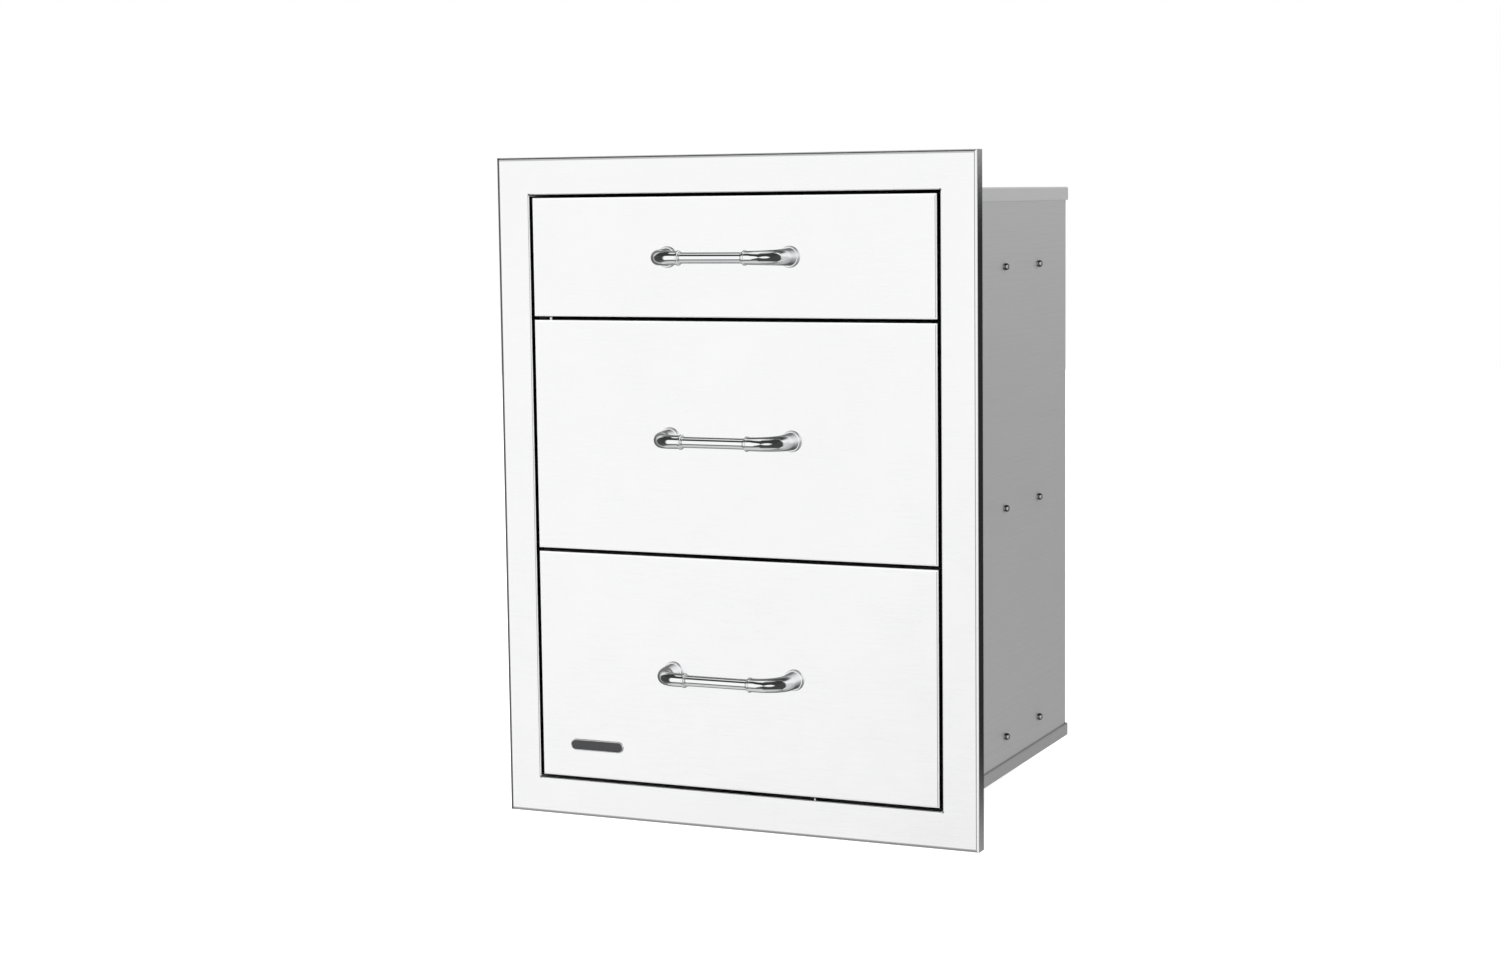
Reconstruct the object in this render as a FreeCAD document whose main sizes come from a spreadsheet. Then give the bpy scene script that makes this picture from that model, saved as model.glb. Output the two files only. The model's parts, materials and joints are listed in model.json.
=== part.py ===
"""Built-in drawer unit for an outdoor kitchen: a folded stainless face frame and box with
three drawers, each on a pair of three-part ball-bearing slides.

Millimetres. +X to the right of a person facing the unit, +Y back into the island, +Z up.
X = 0 is the middle of the unit, Y = 0 the wall that the face frame's rim bears on, and
Z = 0 the underside of the box, which rests on the sill of the cut-out.
"""
import FreeCAD
import Part
import Sketcher
import math
import os
import re

V = FreeCAD.Vector
doc = FreeCAD.newDocument("drawer_unit")

# Driving dimensions: name, value, meaning
SIZES = [
    ("frame_width", 444.5, "face frame, outside"),
    ("frame_height", 583.0, "face frame, outside"),
    ("frame_stand_off", 13.7, "front face of the frame to the wall"),
    ("frame_sheet", 1.0, "sheet of the face frame"),
    ("frame_bend", 2.4, "outer radius of the frame's outside bends"),
    ("side_margin", 31.75, "visible width of the frame beside the opening"),
    ("end_margin", 32.5, "visible width of the frame above and below the opening"),
    ("opening_return", 15.0, "depth of the flanges folded back round the opening"),
    ("opening_bend", 1.3, "outer radius of the opening's bends"),
    ("relief_size", 2.2, "side of the diamond cut at each corner of the opening"),
    ("box_sheet", 0.8, "sheet of the box panels"),
    ("box_depth", 347.0, "front face of the frame to the back of the box"),
    ("box_bend", 1.4, "outer radius of the pans' bends and middle radius of the other panels' bends"),
    ("pan_flange", 12.2, "flanges of the top and bottom pans"),
    ("pan_clip", 4.0, "45 degree clip at the front end of a pan flange"),
    ("side_setback", 7.0, "side panel ends this far ahead of the back of the box"),
    ("rear_flange", 14.0, "flange turned in at the back of a side panel"),
    ("fixing_hole", 5.0, "holes in the side panels for screws into the island"),
    ("fixing_set_back", 21.0, "fixing holes behind the wall plane"),
    ("fixing_spacing", 200.0, "between the two fixing holes of one side"),
    ("fixing_lift", 140.0, "lower fixing hole above the underside"),
    ("side_gap", 2.8, "drawer front to frame, each side"),
    ("end_gap", 2.6, "drawer front to frame, top and bottom"),
    ("between_gap", 2.8, "between two drawer fronts"),
    ("top_front_height", 103.5, "front of the shallow top drawer"),
    ("front_sheet", 0.9, "outer skin of a drawer front"),
    ("front_depth", 19.0, "thickness of a drawer front"),
    ("front_bend", 1.8, "outer radius of the skin's front edges"),
    ("liner_sheet", 0.8, "inner pan of a drawer front"),
    ("liner_flange", 9.0, "depth of the inner pan"),
    ("slide_length", 300.0, "length of the closed slide"),
    ("slide_height", 45.7, "height of the cabinet rail"),
    ("slide_width", 12.7, "side panel to tray"),
    ("slide_set_back", 27.0, "front face of the frame to the front end of the slide"),
    ("slide_sheet", 1.1, "strip that the rails are rolled from"),
    ("rail_web_gap", 1.35, "between the webs of the cabinet rail and the middle rail"),
    ("rail_corner", 1.6, "middle radius of the cabinet rail's corners"),
    ("middle_corner", 1.2, "middle radius of the middle rail's corners"),
    ("drawer_corner", 0.9, "middle radius of the drawer rail's corners"),
    ("ball_diameter", 3.6, "bearing balls"),
    ("ball_play", 0.2, "ball to raceway"),
    ("ball_pitch", 48.0, "between balls in a cage"),
    ("cage_length", 120.0, "ball cages"),
    ("cage_sheet", 0.6, "sheet of the ball cages"),
    ("cage_rim", 2.6, "cage past the middle of its balls"),
    ("cage_web_gap", 0.4, "cage to the web that it runs along"),
    ("cage_corner", 1.0, "middle radius of a cage's corners"),
    ("pocket_play", 0.25, "ball to the sides of its pocket"),
    ("rivet_head", 5.6, "rivet heads"),
    ("rivet_rise", 1.1, "height of a rivet head"),
    ("first_hole", 37.0, "first rivet behind the front end of the slide"),
    ("hole_pitch", 96.0, "between the rivets of a slide"),
    ("top_slide_rise", 38.8, "slide above the lower edge of the top front"),
    ("deep_slide_rise", 30.8, "slide above the lower edge of a deep front"),
    ("tray_sheet", 0.8, "sheet of the drawer trays"),
    ("tray_length", 303.0, "back face of the drawer front to the back of the tray"),
    ("tray_bend", 1.2, "middle radius of the tray's bends"),
    ("tray_hem", 8.0, "hem folded down along the top of a tray side"),
    ("hem_radius", 0.6, "middle radius of the hem's fold"),
    ("top_tray_height", 76.0, "tray of the top drawer"),
    ("deep_tray_height", 165.0, "tray of a deep drawer"),
    ("top_tray_rise", 12.0, "tray above the lower edge of the top front"),
    ("deep_tray_rise", 6.5, "tray above the lower edge of a deep front"),
    ("tray_back_drop", 10.0, "tray back below the top of the tray's sides"),
    ("tray_back_flange", 12.0, "flanges that join the tray back to the sides"),
    ("handle_centres", 114.3, "between the two feet of a handle"),
    ("handle_reach", 34.0, "drawer front to the middle of the bar"),
    ("bar_diameter", 9.3, "straight bar of a handle"),
    ("bar_half", 29.0, "middle of the handle to its collar"),
    ("collar_diameter", 13.0, "raised ring where an elbow begins"),
    ("collar_width", 1.6, "raised ring where an elbow begins"),
    ("elbow_diameter", 11.6, "elbow beside the collar"),
    ("elbow_foot_diameter", 15.4, "elbow where it meets the foot"),
    ("elbow_radius", 21.0, "bend of the elbow's middle line"),
    ("foot_diameter", 18.4, "round foot of a handle"),
    ("foot_height", 3.0, "round foot of a handle"),
    ("screw_diameter", 4.0, "handle screws"),
    ("screw_play", 0.1, "handle screw to its holes"),
    ("screw_head", 8.1, "handle screw heads, across the corners"),
    ("screw_head_height", 2.4, "handle screw heads"),
    ("screw_bite", 10.0, "handle screw inside the elbow's foot"),
]
sheet = doc.addObject("Spreadsheet::Sheet", "Sizes")
for row, (alias, number, meaning) in enumerate(SIZES, start=1):
    sheet.set(f"A{row}", meaning)
    sheet.set(f"B{row}", str(number))
    sheet.setAlias(f"B{row}", alias)
doc.recompute()

# Sizes worked out from the driving ones, as expressions
OPENING_WIDTH = "(frame_width - 2 * side_margin)"
OPENING_HEIGHT = "(frame_height - 2 * end_margin)"
FACE = "(0 - frame_stand_off)"
BOX_FRONT = f"({FACE} + frame_sheet)"
BOX_HALF = f"({OPENING_WIDTH} / 2 + frame_sheet)"
OPENING_BOTTOM = "(box_sheet + frame_sheet)"
FRAME_BOTTOM = f"({OPENING_BOTTOM} - end_margin)"
BOX_HEIGHT = f"({OPENING_HEIGHT} + 2 * {OPENING_BOTTOM})"
BOX_BACK = f"({FACE} + box_depth)"
SIDE_BACK = f"({BOX_BACK} - side_setback)"
FRONT_BACK = f"({FACE} + front_depth)"
FRONT_WIDTH = f"({OPENING_WIDTH} - 2 * side_gap)"
SLIDE_FRONT = f"({FACE} + slide_set_back)"
TRAY_HALF = f"({BOX_HALF} - slide_width)"
DEEP_FRONT_HEIGHT = f"(({OPENING_HEIGHT} - 2 * end_gap - 2 * between_gap - top_front_height) / 2)"
BOTTOM_EDGE = f"({OPENING_BOTTOM} + end_gap)"
MIDDLE_EDGE = f"({BOTTOM_EDGE} + {DEEP_FRONT_HEIGHT} + between_gap)"
TOP_EDGE = f"({MIDDLE_EDGE} + {DEEP_FRONT_HEIGHT} + between_gap)"

# Drawer: lower edge and height of its front, then its tray's rise and height and its slides' rise
DRAWERS = {
    "top": (TOP_EDGE, "top_front_height", "top_tray_rise", "top_tray_height", "top_slide_rise"),
    "middle": (MIDDLE_EDGE, DEEP_FRONT_HEIGHT, "deep_tray_rise", "deep_tray_height", "deep_slide_rise"),
    "bottom": (BOTTOM_EDGE, DEEP_FRONT_HEIGHT, "deep_tray_rise", "deep_tray_height", "deep_slide_rise"),
}
SIDES = {"left": -1, "right": 1}

# Flats stand for the small curves, which repeat all over the unit: most degrees of a bend to a
# flat, sections along an elbow's bend, flats round an elbow, flats round a rivet or a screw.
CHORD = 46
ELBOW_STEPS = 6
ELBOW_FACES = 14
SMALL_FACES = 12

# An elbow swells towards its foot as this power of the distance from its collar.
SWELL = 1.5
# A cut runs this many millimetres past the sheet that it goes through.
PAST = 1
# Faces and edges count as lying at a place when they are this near to it, in millimetres.
NEAR = 1e-4

parts = []


def value(expression):
    """Number of millimetres that an expression in the sheet's names stands for."""
    return float(sheet.evalExpression(expression))


def bind(thing, name, expression):
    """Ties a property to an expression in the sheet's names."""
    thing.setExpression(name, re.sub(r"[a-z_]+", lambda word: "Sizes." + word[0], expression))


def keep(thing, name):
    """Lists a finished sub-part under its own name."""
    thing.Label = name
    parts.append(thing)
    return thing


def new_body(name):
    """Empty body of a sub-part."""
    body = doc.addObject("PartDesign::Body", name)
    doc.recompute()
    return keep(body, name)


def new_sketch(body, name, role, at=None):
    """Sketch on one of the body's origin planes, moved to a place along the axis that it crosses."""
    plane = [item for item in body.Origin.OriginFeatures if item.Role == role][0]
    sketch = body.newObject("Sketcher::SketchObject", name)
    sketch.AttachmentSupport = [(plane, "")]
    sketch.MapMode = "FlatFace"
    if at is not None:
        sign = "0 -" if role == "XZ_Plane" else "0 +"
        bind(sketch, "AttachmentOffset.Base.z", f"{sign} ({at})")
    return sketch


def fix(sketch, kind, expression, *places):
    """Adds a dimension to a sketch and ties it to the sheet."""
    number = sketch.addConstraint(Sketcher.Constraint(kind, *places, value(expression)))
    label = f"{kind}{number}"
    sketch.renameConstraint(number, label)
    bind(sketch, f"Constraints.{label}", expression)


def rectangle(sketch, left, low, width, height):
    """Rectangle whose corner and sides are tied to the sheet."""
    x, y = value(left), value(low)
    far_x, far_y = x + value(width), y + value(height)
    corners = [V(x, y, 0), V(far_x, y, 0), V(far_x, far_y, 0), V(x, far_y, 0)]
    first = sketch.GeometryCount
    for index in range(4):
        sketch.addGeometry(Part.LineSegment(corners[index], corners[(index + 1) % 4]), False)
    for index in range(4):
        here, after = first + index, first + (index + 1) % 4
        sketch.addConstraint(Sketcher.Constraint("Coincident", here, 2, after, 1))
        sketch.addConstraint(Sketcher.Constraint("Vertical" if index % 2 else "Horizontal", here))
    fix(sketch, "DistanceX", left, -1, 1, first, 1)
    fix(sketch, "DistanceY", low, -1, 1, first, 1)
    fix(sketch, "DistanceX", width, first, 1, first, 2)
    fix(sketch, "DistanceY", height, first + 1, 1, first + 1, 2)


def circles(sketch, diameter, centres):
    """Circles of one diameter; diameter and centres are tied to the sheet."""
    for x, y in centres:
        ring = sketch.GeometryCount
        sketch.addGeometry(Part.Circle(V(value(x), value(y), 0), V(0, 0, 1), value(diameter) / 2), False)
        fix(sketch, "Diameter", diameter, ring)
        fix(sketch, "DistanceX", x, -1, 1, ring, 3)
        fix(sketch, "DistanceY", y, -1, 1, ring, 3)


def outline(sketch, points):
    """Closed outline of straight lines through the given points."""
    for here, after in zip(points, points[1:] + points[:1]):
        sketch.addGeometry(Part.LineSegment(V(*here, 0), V(*after, 0)), False)


def polygon(radius, count):
    """Corners of a regular polygon that a circle of the given radius just encloses."""
    return [(radius * math.cos(2 * math.pi * (index + 0.5) / count),
             radius * math.sin(2 * math.pi * (index + 0.5) / count)) for index in range(count)]


def small_rounds(sketch, diameter, centres):
    """Small round forms, such as rivet heads, screws and their holes, with SMALL_FACES flats each."""
    for x, y in centres:
        outline(sketch, [(value(x) + across, value(y) + up)
                         for across, up in polygon(value(diameter) / 2, SMALL_FACES)])


def walk(start, heading, moves):
    """Place and heading at the end of a middle line made of runs and turns."""
    x, y = start
    angle = math.radians(heading)
    for move in moves:
        if move[0] == "run":
            x += move[1] * math.cos(angle)
            y += move[1] * math.sin(angle)
        else:
            radius, turn = math.copysign(move[1], move[2]), math.radians(move[2])
            x += radius * (math.sin(angle + turn) - math.sin(angle))
            y -= radius * (math.cos(angle + turn) - math.cos(angle))
            angle += turn
    return (x, y), math.degrees(angle)


def strip(sketch, start, heading, moves, thickness, flip=False):
    """Edge-on outline of a bent sheet, from its middle line: runs, and turns left (+) or right (-).

    Turns are drawn as chords of at most CHORD degrees, because the same small bends repeat
    all over the unit.
    """
    mirror = -1 if flip else 1
    stops = [(start, heading)]
    for move in moves:
        pieces = math.ceil(abs(move[2]) / CHORD) if move[0] == "turn" else 1
        step = ("turn", move[1], move[2] / pieces) if move[0] == "turn" else move
        for _ in range(pieces):
            stops.append(walk(*stops[-1], [step]))

    def beside(side):
        points = []
        for (x, y), angle in stops:
            turned = math.radians(angle)
            across = side * thickness / 2
            points.append((mirror * (x - across * math.sin(turned)), y + across * math.cos(turned)))
        return points

    outline(sketch, beside(1) + beside(-1)[::-1])


def symmetric_strip(sketch, web, moves, thickness, shift, flip):
    """Bent sheet that is the same above and below: moves lead from the middle of its web to its top."""
    (x, y), heading = walk((web, 0), 90, moves)
    below = [*reversed(moves)]
    runs = []
    for move in below + list(moves):
        if runs and runs[-1][0] == "run" and move[0] == "run":
            runs[-1] = ("run", runs[-1][1] + move[1])
        else:
            runs.append(move)
    strip(sketch, (x + shift[0], shift[1] - y), 180 - heading, runs, thickness, flip)


def pad(body, sketch, length):
    """Solid raised from a sketch along the positive axis."""
    feature = body.newObject("PartDesign::Pad", sketch.Name + "_pad")
    feature.Profile = sketch
    plane = sketch.AttachmentSupport[0][0]
    feature.Reversed = plane.Role == "XZ_Plane"
    bind(feature, "Length", length)
    doc.recompute()
    return feature


def pocket(body, sketch, length):
    """Cut made from a sketch along the positive axis; it has to remove something."""
    before = body.Shape.Volume
    feature = body.newObject("PartDesign::Pocket", sketch.Name + "_cut")
    feature.Profile = sketch
    plane = sketch.AttachmentSupport[0][0]
    feature.Reversed = plane.Role != "XZ_Plane"
    bind(feature, "Length", length)
    doc.recompute()
    if not body.Shape.Volume < before:
        raise RuntimeError(f"{feature.Name} removes nothing")
    return feature


def edges_on(feature, axis, place, along=None):
    """Names of the edges that lie in the plane where the axis has the given place."""
    names = []
    for number, edge in enumerate(feature.Shape.Edges, start=1):
        low, high = edge.BoundBox.XMin, edge.BoundBox.XMax
        if axis == "y":
            low, high = edge.BoundBox.YMin, edge.BoundBox.YMax
        if axis == "z":
            low, high = edge.BoundBox.ZMin, edge.BoundBox.ZMax
        if abs(low - place) < NEAR and abs(high - place) < NEAR:
            if along is None or along(edge):
                names.append(f"Edge{number}")
    return names


def face_at(feature, axis, place):
    """Name of the flat face that lies where the axis has the given place."""
    for number, face in enumerate(feature.Shape.Faces, start=1):
        box = face.BoundBox
        spans = {"x": (box.XMin, box.XMax), "y": (box.YMin, box.YMax), "z": (box.ZMin, box.ZMax)}
        if all(abs(end - place) < NEAR for end in spans[axis]):
            return f"Face{number}"
    raise RuntimeError(f"no face of {feature.Name} at {axis} = {place}")


def round_edges(body, feature, names, radius):
    """Fillet of the named edges."""
    fillet = body.newObject("PartDesign::Fillet", feature.Name + "_bends")
    fillet.Base = (feature, names)
    bind(fillet, "Radius", radius)
    doc.recompute()
    return fillet


def shell(body, feature, open_faces, thickness):
    """Hollows a block out to sheet metal, open at the named faces."""
    hollow = body.newObject("PartDesign::Thickness", feature.Name + "_sheet")
    hollow.Base = (feature, open_faces)
    hollow.Reversed = True
    bind(hollow, "Value", thickness)
    doc.recompute()
    return hollow


def block(body, name, left, front, low, width, depth, height):
    """Rectangular block raised back from a sketch of its front face."""
    sketch = new_sketch(body, name, "XZ_Plane", front)
    rectangle(sketch, left, low, width, height)
    return pad(body, sketch, depth)


def face_frame():
    """Face frame: one folded sheet with a rim round the outside and flanges round the opening."""
    body = new_body("face_frame")
    outer = block(body, "rim", "0 - frame_width / 2", FACE, FRAME_BOTTOM,
                  "frame_width", "frame_stand_off", "frame_height")
    bends = round_edges(body, outer, edges_on(outer, "y", value(FACE)), "frame_bend")
    shell(body, bends, [face_at(bends, "y", 0)], "frame_sheet")
    flange = new_sketch(body, "flange", "XZ_Plane", FACE)
    rectangle(flange, f"0 - {BOX_HALF}", "box_sheet", f"2 * {BOX_HALF}",
              f"{OPENING_HEIGHT} + 2 * frame_sheet")
    pad(body, flange, "opening_return")
    opening = new_sketch(body, "opening", "XZ_Plane", f"{FACE} - {PAST}")
    rectangle(opening, f"0 - {OPENING_WIDTH} / 2", OPENING_BOTTOM, OPENING_WIDTH, OPENING_HEIGHT)
    hole = pocket(body, opening, f"opening_return + {2 * PAST}")
    reach = value(OPENING_WIDTH) / 2

    def beside_opening(edge):
        return max(abs(edge.BoundBox.XMin), abs(edge.BoundBox.XMax)) < reach + NEAR

    round_edges(body, hole, edges_on(hole, "y", value(FACE), beside_opening), "opening_bend")
    relief = new_sketch(body, "relief", "XZ_Plane", f"{FACE} - {PAST}")
    arm = value("relief_size") / math.sqrt(2)
    low = value(OPENING_BOTTOM)
    for x in (-reach, reach):
        for z in (low, low + value(OPENING_HEIGHT)):
            outline(relief, [(x - arm, z), (x, z - arm), (x + arm, z), (x, z + arm)])
    pocket(body, relief, f"opening_return + {2 * PAST}")


def rivet_places(drawer, numbers):
    """Chosen rivets of a drawer's slides: distance back and height, as expressions."""
    edge, _, _, _, rise = DRAWERS[drawer]
    return [(f"{SLIDE_FRONT} + first_hole + {number} * hole_pitch", f"{edge} + {rise}")
            for number in numbers]


def side_panel(side):
    """Side of the box, with its back edge turned in and holes for screws into the island."""
    name = f"{side}_side_panel"
    body = new_body(name)
    section = new_sketch(body, f"{name}_section", "XY_Plane", "box_bend")
    across = value(f"{BOX_HALF} + box_sheet / 2")
    bend = value("box_bend")
    strip(section, (across, value(BOX_FRONT)), 90, [
        ("run", value(f"{SIDE_BACK} - {BOX_FRONT} - box_sheet / 2") - bend),
        ("turn", bend, 90),
        ("run", value("rear_flange") - bend - value("box_sheet") / 2),
    ], value("box_sheet"), flip=side == "left")
    pad(body, section, f"{BOX_HEIGHT} - 2 * box_bend")
    inside = f"{BOX_HALF} - {PAST}" if side == "right" else f"0 - {BOX_HALF} - box_sheet - {PAST}"
    fixings = new_sketch(body, f"{name}_fixings", "YZ_Plane", inside)
    circles(fixings, "fixing_hole", [("fixing_set_back", "fixing_lift"),
                                     ("fixing_set_back", "fixing_lift + fixing_spacing")])
    pocket(body, fixings, f"box_sheet + {2 * PAST}")


def pan(name, low, flat, open_side):
    """Top or bottom of the box: a pan whose flanges lap over the side panels and the back."""
    body = new_body(name)
    width = f"2 * ({BOX_HALF} + 2 * box_sheet)"
    solid = block(body, f"{name}_block", f"0 - {width} / 2", BOX_FRONT, low, width,
                  f"{BOX_BACK} - {BOX_FRONT}", "pan_flange")
    back, half = value(BOX_BACK), value(width) / 2

    def folded(edge):
        box = edge.BoundBox
        beside = min(abs(box.XMin), abs(box.XMax)) > half - NEAR
        return beside and box.YLength > box.XLength or box.YMin > back - NEAR

    bends = round_edges(body, solid, edges_on(solid, "z", value(flat), folded), "box_bend")
    shell(body, bends, [face_at(bends, "z", value(open_side)), face_at(bends, "y", value(BOX_FRONT))],
          "box_sheet")
    clip = new_sketch(body, f"{name}_clip", "YZ_Plane", f"0 - {width}")
    front, edge, reach = value(BOX_FRONT), value(open_side), value("pan_clip") + PAST
    up = math.copysign(1, value(flat) - edge)
    outline(clip, [(front - PAST, edge - up * PAST), (front + reach, edge - up * PAST),
                   (front - PAST, edge + up * reach)])
    pocket(body, clip, f"2 * {width}")


def back_panel():
    """Back of the box: a shallow pan between the side panels' rear flanges and the pans."""
    body = new_body("back_panel")
    section = new_sketch(body, "back_section", "XY_Plane", "box_bend")
    bend, thick = value("box_bend"), value("box_sheet")
    half = value(BOX_HALF) - thick / 2
    inner_back = value(f"{BOX_BACK} - 1.5 * box_sheet")
    depth = inner_back - value(SIDE_BACK)
    strip(section, (-half, value(SIDE_BACK)), 90, [
        ("run", depth - bend),
        ("turn", bend, -90),
        ("run", 2 * (half - bend)),
        ("turn", bend, -90),
        ("run", depth - bend),
    ], thick)
    pad(body, section, f"{BOX_HEIGHT} - 2 * box_bend")


# Cross-section of a slide. Across: from the side panel towards the tray. Up: from its middle.
# The middle rail runs in an S between its two rows of balls. Degrees: where the S begins, from
# level; the slope of the line between the rows; how far each lip wraps round its balls.
SWEEP = 65
SLOPE = 45
CABINET_LIP = 65
MIDDLE_LIP = 105
DRAWER_LIP = 50
ROLL = value("ball_diameter / 2 + ball_play + slide_sheet / 2")
CABINET_WEB = value("slide_sheet / 2")
MIDDLE_WEB = value("1.5 * slide_sheet + rail_web_gap")
DRAWER_WEB = value("slide_width - slide_sheet / 2")
NECK = ROLL + value("middle_corner")
OUTER_BALL = (MIDDLE_WEB + NECK * math.cos(math.radians(SWEEP)) + value("middle_corner"),
              value("slide_height / 2 - slide_sheet / 2") - ROLL)
INNER_BALL = (OUTER_BALL[0] + 2 * ROLL * math.sin(math.radians(SLOPE)),
              OUTER_BALL[1] - 2 * ROLL * math.cos(math.radians(SLOPE)))
DRAWER_TILT = math.degrees(math.asin(
    (DRAWER_WEB - INNER_BALL[0] - value("drawer_corner")) / (ROLL + value("drawer_corner"))))


def rail_moves():
    """Middle lines of the three rails, from the middle of the web up to the free edge."""
    corner, middle, drawer = value("rail_corner"), value("middle_corner"), value("drawer_corner")
    top = OUTER_BALL[1] + ROLL
    cabinet_rail = [("run", top - corner), ("turn", corner, -90),
                    ("run", OUTER_BALL[0] - CABINET_WEB - corner), ("turn", ROLL, -CABINET_LIP)]
    middle_rail = [("run", OUTER_BALL[1] - NECK * math.sin(math.radians(SWEEP))),
                   ("turn", middle, SWEEP - 180), ("turn", ROLL, 180 - SWEEP - SLOPE),
                   ("turn", ROLL, -MIDDLE_LIP)]
    drawer_rail = [("run", INNER_BALL[1] - (ROLL + drawer) * math.cos(math.radians(DRAWER_TILT))),
                   ("turn", drawer, 90 + DRAWER_TILT), ("turn", ROLL, -DRAWER_TILT - DRAWER_LIP)]
    return {"cabinet": (CABINET_WEB, cabinet_rail), "middle": (MIDDLE_WEB, middle_rail),
            "drawer": (DRAWER_WEB, drawer_rail)}


def slide_section(sketch, side, web, moves, thickness, height):
    """Symmetric section of a slide part, seen from the front, at its side of the box."""
    half = value(BOX_HALF)
    symmetric_strip(sketch, web, moves, thickness, (-half, height), flip=side == "right")


def rail(drawer, side, kind):
    """One of the three rails of a slide, rolled from strip."""
    name = f"{drawer}_{side}_{kind}_rail"
    body = new_body(name)
    edge, _, _, _, rise = DRAWERS[drawer]
    web, moves = rail_moves()[kind]
    section = new_sketch(body, f"{name}_section", "XZ_Plane", SLIDE_FRONT)
    slide_section(section, side, web, moves, value("slide_sheet"), value(f"{edge} + {rise}"))
    pad(body, section, "slide_length")


def ball_shape(radius):
    """Cuboctahedron that a bearing ball just encloses."""
    arm = radius / math.sqrt(2)
    faces = []
    for axis in range(3):
        for sign in (-1, 1):
            ring = []
            for step in range(4):
                point = [0.0, 0.0, 0.0]
                point[axis] = sign * arm
                point[(axis + 1 + step % 2) % 3] = arm if step < 2 else -arm
                ring.append(V(*point))
            faces.append(ring)
    for signs in ((x, y, z) for x in (-1, 1) for y in (-1, 1) for z in (-1, 1)):
        x, y, z = (arm * sign for sign in signs)
        faces.append([V(x, y, 0), V(0, y, z), V(x, 0, z)])
    shells = [Part.Face(Part.makePolygon(ring + ring[:1])) for ring in faces]
    return Part.makeSolid(Part.makeShell(shells))


def cages(drawer, kind):
    """Both ball cages of a drawer between two kinds of rail, each with its two rows of balls."""
    name = f"{drawer}_{kind}_cages"
    edge, _, _, _, rise = DRAWERS[drawer]
    height = value(f"{edge} + {rise}")
    ball = OUTER_BALL if kind == "outer" else INNER_BALL
    thick = value("cage_sheet")
    beside = value("slide_sheet") if kind == "outer" else MIDDLE_WEB + value("slide_sheet") / 2
    web = beside + value("cage_web_gap") + thick / 2
    corner = value("cage_corner")
    moves = [("run", ball[1] - corner), ("turn", corner, -90),
             ("run", ball[0] + value("cage_rim") - web - corner)]
    centre = value(f"{SLIDE_FRONT} + slide_length / 2")
    length, pitch = value("cage_length"), value("ball_pitch")
    gaps = (length - 2 * value("ball_diameter")) // pitch
    rows = [centre + (index - gaps / 2) * pitch for index in range(int(gaps) + 1)]
    body = doc.addObject("PartDesign::Body", name + "_strips")
    doc.recompute()
    section = new_sketch(body, f"{name}_section", "XZ_Plane",
                         f"{SLIDE_FRONT} + (slide_length - cage_length) / 2")
    for side in SIDES:
        slide_section(section, side, web, moves, thick, height)
    pad(body, section, "cage_length")
    pockets = new_sketch(body, f"{name}_pockets", "XY_Plane", f"{edge} + {rise} - slide_height / 2")
    half = value("ball_diameter / 2 + pocket_play")
    balls = []
    for side, sign in SIDES.items():
        x = sign * (value(BOX_HALF) - ball[0])
        for y in rows:
            outline(pockets, [(x - half, y - half), (x + half, y - half),
                              (x + half, y + half), (x - half, y + half)])
            for up in (-1, 1):
                place = V(x, y, height + up * ball[1])
                balls.append(ball_shape(value("ball_diameter") / 2).translated(place))
    pocket(body, pockets, "slide_height")
    row = doc.addObject("Part::Feature", name + "_balls")
    row.Shape = Part.Compound(balls)
    group = doc.addObject("Part::Compound", name)
    group.Links = [body, row]
    doc.recompute()
    keep(group, name)


def rivet_heads(name, places, surface, direction):
    """Rivet heads that stand on a sheet whose surface faces along the X axis."""
    body = new_body(name)
    start = surface if direction > 0 else f"{surface} - rivet_rise"
    heads = new_sketch(body, f"{name}_heads", "YZ_Plane", start)
    small_rounds(heads, "rivet_head", places)
    pad(body, heads, "rivet_rise")


def front(drawer):
    """Outer skin and inner pan of a drawer front."""
    edge, height, _, _, _ = DRAWERS[drawer]
    middle = f"{edge} + {height} / 2"
    holes = [("0 - handle_centres / 2", middle), ("handle_centres / 2", middle)]
    name = f"{drawer}_front_skin"
    body = new_body(name)
    solid = block(body, f"{name}_block", f"0 - {FRONT_WIDTH} / 2", FACE, edge,
                  FRONT_WIDTH, "front_depth", height)
    bends = round_edges(body, solid, edges_on(solid, "y", value(FACE)), "front_bend")
    shell(body, bends, [face_at(bends, "y", value(FRONT_BACK))], "front_sheet")
    sketch = new_sketch(body, f"{name}_holes", "XZ_Plane", f"{FACE} - {PAST}")
    small_rounds(sketch, "screw_diameter + 2 * screw_play", holes)
    pocket(body, sketch, f"front_sheet + {2 * PAST}")
    name = f"{drawer}_front_liner"
    body = new_body(name)
    solid = block(body, f"{name}_block", f"0 - {FRONT_WIDTH} / 2 + front_sheet",
                  f"{FRONT_BACK} - liner_flange", f"{edge} + front_sheet",
                  f"{FRONT_WIDTH} - 2 * front_sheet", "liner_flange", f"{height} - 2 * front_sheet")
    shell(body, solid, [face_at(solid, "y", value(f"{FRONT_BACK} - liner_flange"))], "liner_sheet")


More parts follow.
